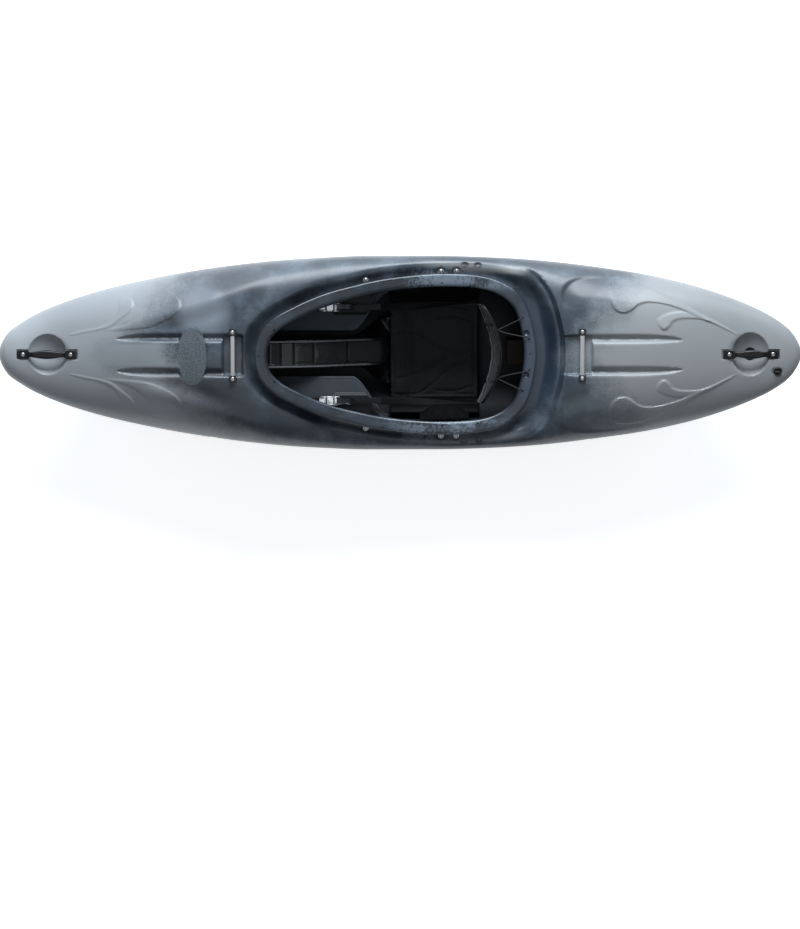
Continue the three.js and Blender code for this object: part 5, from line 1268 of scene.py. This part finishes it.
# Cockpit outfitting
def inflate(piece, held, cap):
    """Fills a cover by simulation: held(points) says which points stay, cap limits the swelling."""
    modified(piece, "REMESH", mode="VOXEL", voxel_size=5 * MM)
    rest = coordinates(piece)
    stay = held(rest)
    group = piece.vertex_groups.new(name="held")
    group.add(np.flatnonzero(stay).tolist(), 1.0, "REPLACE")
    cloth = piece.modifiers.new("cloth", "CLOTH")
    cloth.settings.quality = 6
    cloth.settings.mass = 0.3
    cloth.settings.tension_stiffness = cloth.settings.compression_stiffness = 12
    cloth.settings.bending_stiffness = 0.6
    cloth.settings.use_pressure = True
    cloth.settings.uniform_pressure_force = 4
    cloth.settings.effector_weights.gravity = 0
    cloth.settings.vertex_group_mass = "held"
    cloth.collision_settings.use_collision = False
    for now in range(1, 21):
        bpy.context.scene.frame_set(now)
    swollen = piece.evaluated_get(bpy.context.evaluated_depsgraph_get()).data
    move = vertex_values(swollen, "co") / MM - rest
    piece.modifiers.remove(cloth)
    piece.vertex_groups.remove(group)
    bpy.context.scene.frame_set(1)
    length = np.linalg.norm(move, axis=1)
    move *= np.minimum(1, cap / np.maximum(length, TINY))[:, None]
    move[stay] = 0
    move_points(piece, rest + move)
    modified(piece, "SUBSURF", levels=1, render_levels=1)
    shade_smooth(piece.data)


def sew(piece, lines, depth, width, side=lambda n: n[:, 2] > 0.3):
    """Presses sewn channels into a cover along lines drawn in two of its axes."""
    points, out = coordinates(piece), vertex_values(piece.data, "normal")
    near = np.full(len(points), np.inf)
    for line, axes in lines:
        line = spline(line, 60)
        for a, b in zip(line, line[1:]):
            near = np.minimum(near, segment_distance(*points[:, axes].T, a, b)[0])
    press = depth * np.exp(-(near / width) ** 2) * side(out)
    move_points(piece, points - out * press[:, None])


def front_pillar():
    """Moulded tray: rims along its sides, stepped panels between them, a rounded rear end."""
    panels = [
        (-634, 335), (-520, 332), (-424, 317), (-385, 303), (-343, 293), (-279, 270), (-170, 192),
        (-78, 139), (-47, 122), (-34, 96),
    ]
    rims = [(-634, 341), (-424, 324), (-340, 305), (-268, 279), (-172, 209), (-78, 152), (-34, 104)]
    spans = (-634, -400, 50), (-398, -60, 190), (-59, -34, 22)
    x = np.concatenate([np.linspace(*span) for span in spans])[:, None]
    floor, rim = through(panels, x), through(rims, x)
    for joint in (-424, -385, -343, -279, -170):
        floor = floor - 3.5 * np.exp(-((x - joint) / 2.2) ** 2)
    half = 45 * np.sqrt(np.maximum(1 - clamp((x + 79) / 45.5) ** 2, 0.012))
    spans = (1, 0.97, 4), (0.96, 0.78, 12), (0.75, 0, 14)
    across = np.concatenate([np.linspace(*span) for span in spans])
    rim_share = ease(np.interp(across, [0.76, 0.83, 0.95, 1], [0, 1, 1, 0.82]))
    end = ease((x + 78) / 44)
    raised = 2.4 * (ease((x + 339) / 10) - ease((x + 289) / 10)) * ease((0.66 - across) / 0.14)
    crown = 5.0 * np.cos(np.pi / 2 * clamp(across / 0.76)) * ease((x + 279) / 20) * (1 - end)
    z = floor + (rim - floor) * (1 - 0.85 * end) * rim_share + raised + crown - 10 * end * across ** 2
    z = np.minimum(z, deck_z(x, across * half) - hull_wall - 4)
    # The walls below the rims flare into a skirt at the rear
    skirt = ease((x + 165) / 125)
    foot, curve = 46 + 62 * skirt, 2.2 - 0.8 * skirt
    low = mix(keel_z(x) + hull_wall + 0.8, 64, ease((x + 125) / 85))
    t = np.array([1.0, 0.9, 0.78, 0.66, 0.53, 0.4, 0.27, 0.15, 0.05])
    y = np.hstack([mix(half, foot, t ** curve), across * half])
    z = np.hstack([mix(z[:, :1], low, 1 - (1 - t) ** curve), z])
    rows = points_of(x, np.hstack([y, -y[:, -2::-1]]), np.hstack([z, z[:, -2::-1]]))
    build = Build()
    build.rod(rows, wrap=False)
    build.grid(rows[:, [0, -1]], flip=True)
    piece = build.object("front_pillar_tray", tray_plastic, weld=0.02, smooth_angle=55)
    finish_piece(piece, "hull", "grey_foam", "front_pillar")


def foam_block(node, width, table, material):
    """Sawn foam wall between the hull's floor and its deck."""
    x = np.linspace(at(table[0][0]), at(table[-1][0]), 60)[:, None]
    low, top = keel_z(x) + hull_wall + 0.8, hull_height * along(table, share_of(x)) - 0.8
    half = width / 2 - 0.6 + 0.25 * np.sin(x * 0.11) + 0.15 * np.sin(x * 0.31)
    up, cap = np.linspace(0, 1, 14), np.linspace(0.85, -0.85, 8)
    y, z = half * (1 - 0.012 * np.sin(np.pi * up)), mix(low, top, up)
    y, z = np.hstack([y, half * cap, -y[:, ::-1]]), np.hstack([z, top + 0 * cap, z[:, ::-1]])
    build = Build()
    build.rod(points_of(x, y, z))
    piece = bevelled(build.object(node + "_sawn", material, weld=0.02, smooth_angle=30), 2.5, 3, 50)
    finish_piece(piece, "hull", "brown_foam", node)


# Seat
seat_front, seat_length, seat_half = -32.5, 292.0, 206.5
hanger_waist, hanger_foot, flange_z = 210.0, 206.0, 237.3


def seat_z(u, v):
    across = np.abs(2 * v - 1)
    side = 66 * ease((across - 0.66) / 0.34)
    lip = 50 * ease(1 - 3 * u) * (1 - across ** 4)
    rear = 24 * ease(3 * u - 2)
    return 42 + soft_max(soft_max(side, lip, 8), rear, 8) - 2


def seat_pan():
    def surface(u, v, drop):
        roll = 2.5 * (1 - clamp(edge_distance(u, v) / 0.02)) ** 2
        return seat_front + seat_length * u, (2 * v - 1) * seat_half, seat_z(u, v) - drop - roll
    piece = slab("seat_pan_moulded", 110, 150, surface, 0, 5, hanger_plastic_painted_shade)
    finish_piece(bevelled(piece, 1.6, 3, 60), "hull", "black_plastic", "seat_pan")


seat_channels = [
    [(750, 400), (860, 400), (980, 470), (1060, 500), (1120, 490)],
    [(750, 632), (860, 606), (960, 552), (1010, 520)],
    [(790, 716), (870, 706), (940, 660), (1010, 592), (1070, 552), (1140, 545)],
    [(780, 767), (900, 768), (1050, 742), (1150, 720)],
    [(970, 690), (1050, 692), (1150, 662)],
    [(775, 250), (900, 252), (1050, 270), (1150, 300)],
    [(960, 330), (1050, 322), (1150, 350)],
]


def seat_cover():
    def surface(u, v, lift):
        thick = lift * mix(5.0, 14.5, ease(5 * edge_distance(u, v)))
        u, v = 0.008 + 0.982 * u, (v - 0.5) * 0.76 + 0.5
        return seat_front + seat_length * u, (2 * v - 1) * seat_half, seat_z(u, v) + 0.6 + thick

    def on_pan(points):
        u = (points[:, 0] - seat_front) / seat_length
        v = (points[:, 1] / seat_half + 1) / 2
        return points[:, 2] < seat_z(u, v) + 4.5
    piece = slab("seat_cover_sewn", 54, 60, surface, 1, 0, seat_fabric, 0)
    inflate(piece, on_pan, 4.5)
    edge = [(-18, -146), (243, -146), (243, 146), (-18, 146), (-18, -146)]
    lines = [seen(line, 62) for line in seat_channels] + list(zip(edge, edge[1:]))
    sew(piece, [(line, [0, 1]) for line in lines], 4.2, 4.5)
    finish_piece(piece, "hull", "black_fabric", "seat_cover")


hip_x = 146.0


def hanger_y(z):
    low = mix(hanger_foot, hanger_waist, (z - 86) / 64)
    high = mix(hanger_waist, 237.0, (z - 150) / (flange_z - 150))
    return np.where(z < 150, low, high)


def hip_pads():
    def surface(u, v, depth):
        z = 119 + 82 * v
        inward = depth * mix(8.0, 29.0, ease(4 * edge_distance(u, v)))
        return hip_x + 0.3 + (u - 0.5) * 164, hanger_y(z) - 0.8 - inward, z
    right = slab("hip_pad_right_sewn", 34, 18, surface, 0, 1, hip_fabric_painted_shade, 0)
    inflate(right, lambda p: p[:, 1] > hanger_y(p[:, 2]) - 4.5, 6.0)
    lines = [([(hip_x + shift, 124), (hip_x + shift, 197)], [0, 2]) for shift in (-40, 0, 40)]
    sew(right, lines, 4.0, 4.0, lambda n: n[:, 1] < -0.3)
    left = new_piece("hip_pad_left_sewn", right.data.copy())
    move_points(left, coordinates(left) * (1, -1, 1))
    left.data.flip_normals()
    for word, piece in (("left", left), ("right", right)):
        finish_piece(piece, "hull", "black_fabric", "hip_pad_" + word)


# Backband with its straps and cords
band_x, band_half, band_bow, strap_y = 328.9, 161.0, 60.0, 152.0


def band_point(u, v, depth):
    """Point of the backband, a depth in front of its rear face."""
    y = mix(-band_half, band_half, u)
    near = np.sqrt(1 - (y / band_half) ** 2)
    z = 253 - (1 - near) * 62 / 12 + mix(84.0, 146.0, near) * (v - 0.5)
    return band_x - band_bow * (y / band_half) ** 2 - 10 * (1 - v) - depth, y, z


def backband():
    def frame_surface(u, v, front):
        rib = np.exp(-((np.minimum(v, 1 - v) - 0.1) / 0.035) ** 2)
        return band_point(u, v, mix(1.6 * rib, 4.0, front))

    def pad_surface(u, v, front):
        return band_point(u, v, 4.6 + front * mix(7.0, 19.0, ease(4 * edge_distance(u, v))))

    def on_frame(points):
        x, y, z = points.T
        return x > band_x - band_bow * (y / band_half) ** 2 - 10 * (1 - (z - 180) / 146) - 8.5
    band = slab("backband_frame_moulded", 120, 48, frame_surface, 0, 1, outfit_plastic)
    finish_piece(bevelled(band, 1.2, 3, 50), "backband", "black_plastic", "backband_frame")
    pad = slab("backband_pad_sewn", 64, 30, pad_surface, 0, 1, black_fabric, 0)
    inflate(pad, on_frame, 5.0)
    lines = [[(-150.0, z), (0.0, z + 4), (150.0, z)] for z in (226, 280)]
    lines += [[(y, 190.0), (y, 318.0)] for y in (-92, 92)]
    sew(pad, [(line, [1, 2]) for line in lines], 4.0, 4.5, lambda n: n[:, 0] < -0.3)
    finish_piece(pad, "backband", "black_fabric", "backband_pad")


def strip(name, path, flat, width, thick, material):
    """Flat webbing along a path; flat gives the direction across it at each point."""
    run = unit(np.gradient(path, axis=0))
    flat = unit(flat - run * (flat * run).sum(axis=1)[:, None])
    face = np.cross(run, flat)
    ring = [(-0.5, -0.3)] + [(a, -0.5) for a in (-0.47, -0.25, 0, 0.25, 0.47)] + [(0.5, -0.3)]
    ring += [(-a, -b) for a, b in ring]
    build = Build()
    build.rod(np.stack([path + flat * a * width + face * b * thick for a, b in ring], axis=1))
    return build.object(name, material, weld=0.005, smooth_angle=50)


def backband_straps():
    u = np.linspace(0, 1, 80)
    turn = ease(u) * math.pi / 2
    x, z = mix(-61.8, band_x - band_bow - 5, u), mix(271.7, 247.0, ease(u)) - 1.5 * np.sin(np.pi * u)
    for word, side in SIDES:
        path = points_of(x, side * mix(strap_y, 162.5, ease(u)), z)
        flat = points_of(0, side * np.cos(turn), np.sin(turn))
        piece = strip(f"backband_strap_{word}_woven", path, flat, 25, 2.2, webbing)
        finish_piece(piece, "backband", "webbing", f"backband_strap_{word}")


def tube(name, route, diameter, material):
    """Round cord along a route, its rings kept square to the run."""
    path = spline(route, 160)
    run = unit(np.gradient(path, axis=0))
    side = np.array((0.0, 1.0, 0.0)) if abs(run[0][2]) >= 0.9 else np.cross(run[0], UP)
    angle = turns(14)
    rings = []
    for place, ahead in zip(path, run):
        side = unit(side - ahead * (side @ ahead))
        up = np.cross(ahead, side)
        rings.append(place + diameter / 2 * (np.outer(np.cos(angle), side) + np.outer(np.sin(angle), up)))
    build = Build()
    build.rod(rings)
    return build.object(name, material, weld=0.005, smooth_angle=60)


def backband_cords():
    """Elastic cords from a hole in the rim round the backband and back to the next hole."""
    y, z = 79.0, 310.0
    x = band_x - band_bow * (y / band_half) ** 2 + 2.3
    (outer_x, outer_y), (inner_x, inner_y) = (396.24, 118.0), (416.78, 50.0)
    outer_z, inner_z = float(rim_z(outer_x)), float(rim_z(inner_x))
    route = [
        (outer_x, outer_y, outer_z - 15), (outer_x, outer_y, outer_z + 2),
        (outer_x - 8, outer_y - 4, outer_z + 6), (x + 16, y + 8, z), (x, y, z), (x + 16, y - 8, z),
        (inner_x - 8, inner_y + 4, inner_z + 6), (inner_x, inner_y, inner_z + 2),
        (inner_x, inner_y, inner_z - 15),
    ]
    for word, side in SIDES:
        piece = tube(f"backband_cord_{word}_elastic", np.array(route) * (1, side, 1), 4.0, rubber)
        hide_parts(f"backband_cord_{word}")
        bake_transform(piece)


# Thigh braces and the foam under them
def thigh_braces():
    for word, side in SIDES:
        def surface(u, v, drop):
            y = mix(246.0, mix(194.0, 125.0, ease(4 * np.minimum(u, 1 - u))), v)
            hook = 8 * ease(1 - (y - 125) / 12)
            rib = 1.6 * np.exp(-((v - 0.86) / 0.03) ** 2)
            dish = -1.2 * ease((v - 0.2) / 0.2) * ease((0.8 - v) / 0.2)
            relief = np.minimum(rib + dish, 0.0) * (drop == 0)
            return mix(-254.0, -68.9, u), side * y, 266.92 - hook - drop + relief
        name = f"thigh_brace_{word}_moulded"
        plate = bevelled(slab(name, 80, 44, surface, 0, 5, brace_plastic_painted_shade), 1.4, 3, 45)
        boss = Build()
        boss_profile = [(0.05, 4), (11.6, 4), (12.8, 2.9), (12.8, -1.5), (0.05, -1.5)]
        boss.lathe(boss_profile, 36, stand(bolt_places[0][0], side * bolt_places[0][1], 266.9))
        piece = join(name, plate, boss.object("boss", brace_plastic_painted_shade))
        finish_piece(piece, "hull", "black_plastic", f"thigh_brace_{word}")


def thigh_pads():
    for word, side in SIDES:
        def surface(u, v, drop):
            start = 9 * (1 - np.sqrt(1 - (1 - clamp(u / 0.03)) ** 2))
            inner = mix(75.0, 196.0, ease((u - 0.68) / 0.32)) + start
            y = mix(213.7, inner, v)
            inset = y - inner
            piping = 1.1 * np.exp(-((inset - 9) / 2.0) ** 2) * (drop == 0)
            roll = 3.0 * (1 - clamp(inset / 5)) ** 2 * (1 if drop == 0 else -1)
            return mix(-403.0, -39.0, u), side * y, 253.6 - drop - roll - piping
        piece = slab(f"thigh_pad_{word}_foam", 120, 70, surface, 0, 13, pad_foam, 50)
        finish_piece(piece, "hull", "grey_foam", f"thigh_pad_{word}")


# Ratchets
ratchet_x, ratchet_z, pin_z, lever_pin_x, release_pin_x = -226.2, 267.22, 284.22, -207.2, -245.2


def side_plate(name, outline, low, high, y, material, edge):
    """Plate with an outline in X and Z, standing between two places on either side of Y."""
    piece = flat_plate(name, outline, low, high, material, edge)
    points = coordinates(piece)
    move_points(piece, np.stack([points[:, 0], points[:, 2] + y, points[:, 1]], axis=1))
    piece.data.flip_normals()
    return piece


def ratchet_box(name, y, half_x, half_y, low, high, edge):
    """Level plate of a ratchet, its heights over the ratchet's floor."""
    corners = [(-half_x, -half_y), (half_x, -half_y), (half_x, half_y), (-half_x, half_y)]
    outline = rounded_profile([(ratchet_x + a, y + b) for a, b in corners], 3)
    return flat_plate(name, outline, ratchet_z + low, ratchet_z + high, chrome, edge)


def pin_part(name, profile, segments, x, y, material, way=1, weld=0.05):
    """Part turned round a pin that lies across the boat."""
    build = Build()
    build.lathe(profile, segments, stand(x, y, pin_z, (0, way, 0)))
    return build.object(name, material, weld=weld)


def lever_form(name, profile, thick, half_width, boss, pin_x, y, material, waist=0.0):
    """Pressed arm along a profile seen from its pin, turned up at its sides, with an eye on the pin."""
    path = spline(np.array(profile) + (pin_x, pin_z), 60)
    up = unit(np.gradient(path, axis=0))[:, ::-1] * (-1, 1)
    up *= np.copysign(1, up[0, 1])
    t = np.linspace(0, 1, 60)
    half = half_width * (1 - waist * np.exp(-((t - 0.55) / 0.16) ** 2))
    half = half * np.sqrt(1 - clamp((t - 0.86) / 0.16) ** 2 * 0.75)
    across = np.linspace(-1, 1, 17)
    curl = 1.6 * np.abs(across) ** 6

    def face(offset):
        x, z = (path[:, k, None] + up[:, k, None] * (offset + curl) for k in (0, 1))
        return points_of(x, y + half[:, None] * across, z)
    build = Build()
    build.between(face(thick / 2), face(-thick / 2))
    arm = bevelled(build.object("arm", material, weld=0.01, smooth_angle=40), 0.4, 2, 50)
    eye = [(2.9, -half_width), (boss, -half_width), (boss, half_width), (2.9, half_width)]
    eye = pin_part("eye", eye + eye[:1], 36, pin_x, y, chrome, weld=0.01)
    return join(name, arm, bevelled(eye, 0.4, 2, 50))


def ratchets():
    """Base with two cheeks and two pins, a bridge over its strap, the lever and the release."""
    half = 14.0
    head = [(0.05, 1.4), (2.04, 1.33), (3.128, 0.84), (3.4, 0), (0.05, 0)]
    rod = [(0.05, -half + 1), (2.45, -half + 1), (2.45, half - 1), (0.05, half - 1)]
    cheek = [
        (-31, 1), (31, 1), (31, 9), (26, 17), (22, 21), (14, 21), (8, 14), (-8, 13), (-13, 20), (-19, 21),
        (-25, 17), (-31, 7),
    ]
    cheek = rounded_profile([(ratchet_x + a, ratchet_z + b) for a, b in cheek], 3)
    lever = [(0, 4), (16, 6.2), (32, 9.8), (46, 13), (57, 18.6)]
    release = [(0, 3), (-6, 4.2), (-12, 5.4), (-16.5, 6.4)]
    for word, side in SIDES:
        y = side * strap_y
        pieces = [ratchet_box("bridge", y, 10.5, 12, 10.6, 12.4, 0.7)]
        pieces.append(ratchet_box("floor", y, 31, half, 0.1, 2.4, 0.5))
        for end in (-1, 1):
            low = half - 2.4 if end > 0 else -half
            pieces.append(side_plate("cheek", cheek, low, low + 2.4, y, chrome, 0.5))
            head_y = y + end * (half - 0.1)
            for pin_x in (lever_pin_x, release_pin_x):
                pieces.append(pin_part("head", head, 24, pin_x, head_y, bolt_steel, way=end))
        for pin_x in (lever_pin_x, release_pin_x):
            pieces.append(pin_part("rod", rod, 24, pin_x, y, bolt_steel))
        base = join(f"ratchet_base_{word}_pressed", *pieces)
        finish_piece(base, "hull", "chrome", f"ratchet_base_{word}")
        name = f"ratchet_lever_{word}"
        arm = lever_form(name + "_pressed", lever, 2.6, 11.0, 5.9, lever_pin_x, y, blackened, 0.22)
        finish_piece(arm, f"{word}_lever", "chrome", name)
        name = f"ratchet_release_{word}"
        arm = lever_form(name + "_pressed", release, 2.4, 10.8, 4.4, release_pin_x, y, chrome)
        finish_piece(arm, f"{word}_release", "chrome", name)


def ladder_straps():
    """Toothed straps through the ratchets."""
    low, high = 270.25, 272.0
    outline = [(-62.5, low), (-62.5, high)]
    for x in np.arange(20) * -12.0 - 82:
        outline += [(x, high), (x - 0.6, high + 1.15), (x - 5.4, high + 1.15), (x - 6, high)]
    outline += [(-332.2, high), (-332.2, low)]
    for word, side in SIDES:
        name = f"ladder_strap_{word}_moulded"
        piece = side_plate(name, outline[::-1], -9.9, 9.9, side * strap_y, outfit_plastic, 0.25)
        finish_piece(piece, "backband", "black_plastic", f"ladder_strap_{word}")


def footrest_foam():
    """Cut foam on the footrest's plate, with a shallow dish for each foot."""
    right = [(146 * y, mix(146, 270, z)) for y, z in ((0.68, 0), (1, 0.4), (1, 0.82), (0.86, 1))]
    ring = rounded_profile(right + [(-y, z) for y, z in right[::-1]], 14, 8)
    piece = flat_plate("footrest_foam_cut", ring, 0, 28, dark_foam, 2.5)
    across, up, depth = coordinates(piece).T
    dish = 2.5 * np.exp(-((np.abs(across) - 80) / 38) ** 2) * (depth > 20)
    move_points(piece, np.stack([depth - 791.1 - dish, across, up], axis=1))
    finish_piece(piece, "footrest", "grey_foam", "footrest_foam")


def dress(node, material, edge):
    """Own finish and rounded edges for a piece of the frame whose form already holds."""
    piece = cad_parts[node]
    for place in piece.material_slots:
        place.material = material
    step = piece.modifiers.new("edges", "BEVEL")
    step.width, step.segments = edge * MM, 3
    step.limit_method, step.angle_limit = "ANGLE", math.radians(35)


front_pillar()
foam_block("bow_pillar", 70, [(0.062, 0.7), (0.088, 0.7), (0.105, 0.78), (0.145, 0.825)], grey_foam)
foam_block("stern_pillar", 80, [
    (0.635, 0.6), (0.705, 0.6), (0.714, 0.8), (0.74, 0.83), (0.8, 0.845), (0.85, 0.81), (0.885, 0.775),
], brown_foam)
seat_pan()
seat_cover()
hip_pads()
backband()
backband_straps()
backband_cords()
thigh_braces()
thigh_pads()
ratchets()
ladder_straps()
footrest_foam()
for word in ("left", "right"):
    dress("seat_hanger_" + word, hanger_plastic_painted_shade, 1.0)
    dress("footrest_guide_" + word, outfit_plastic, 1.5)
dress("footrest_frame", aluminium, 0.8)


# Stage, lights and camera
floor_glow = 0.7


def make_stage():
    white = Shade("studio_floor", roughness=0.95, Specular_IOR_Level=0.1)
    white.set(Base_Color=white.blend(white.noise(1.2, 2) * 0.4, (0.9, 0.9, 0.9), (0.86, 0.86, 0.865)))
    camera = white.node("ShaderNodeLightPath", "Is Camera Ray")
    glow = white.blend(camera.maximum(camera.beside("Is Glossy Ray")), (0, 0, 0), (floor_glow,) * 3)
    white.set(Emission_Color=glow, Emission_Strength=1.0)
    work = bmesh.new()
    bmesh.ops.create_grid(work, x_segments=8, y_segments=8, size=9)
    floor = new_piece("studio_floor", new_mesh("studio_floor", work, white.material))
    floor.location.z = -0.002


def soft_light(name, place, size, power, colour):
    light = bpy.data.lights.new(name, "AREA")
    light.shape, light.size, light.size_y = "RECTANGLE", *size
    light.energy, light.color = power, colour
    lamp = new_piece(name, light)
    lamp.location = place
    lamp.rotation_euler = (Vector((0, 0, 0.2)) - Vector(place)).to_track_quat("-Z", "Y").to_euler()


def make_camera():
    lens = bpy.data.cameras.new("camera")
    lens.lens, lens.sensor_width, lens.sensor_fit = focal_length, sensor_width, "HORIZONTAL"
    lens.clip_end = 100
    camera = new_piece("camera", lens)
    away = (Vector(camera_aim) - Vector(camera_place)).normalized()
    right = away.cross(Vector((0, 1, 0))).normalized()
    turn = Matrix((right, right.cross(away), -away)).transposed().to_4x4()
    camera.matrix_world = Matrix.Translation(camera_place) @ turn
    bpy.context.scene.camera = camera


make_stage()
make_camera()
soft_light("key", (0.2, 4.6, 2.95), (4.8, 2.0), 490, (0.86, 0.93, 1.0))
soft_light("side", (0.0, 5.4, 0.95), (6.0, 1.6), 95, (0.74, 0.87, 1.0))
soft_light("fill", (-0.5, -3.4, 5.4), (3.5, 2.5), 17, (0.86, 0.93, 1.0))
soft_light("top", (0.0, -0.3, 6.0), (6.0, 2.6), 36, (0.9, 0.95, 1.0))
world = bpy.data.worlds.new("studio")
bpy.context.scene.world = world
world.use_nodes = True
world.node_tree.nodes["Background"].inputs["Color"].default_value = (0.86, 0.92, 1.0, 1)
world.node_tree.nodes["Background"].inputs["Strength"].default_value = 0.2
bpy.context.scene.view_settings.view_transform = "Standard"
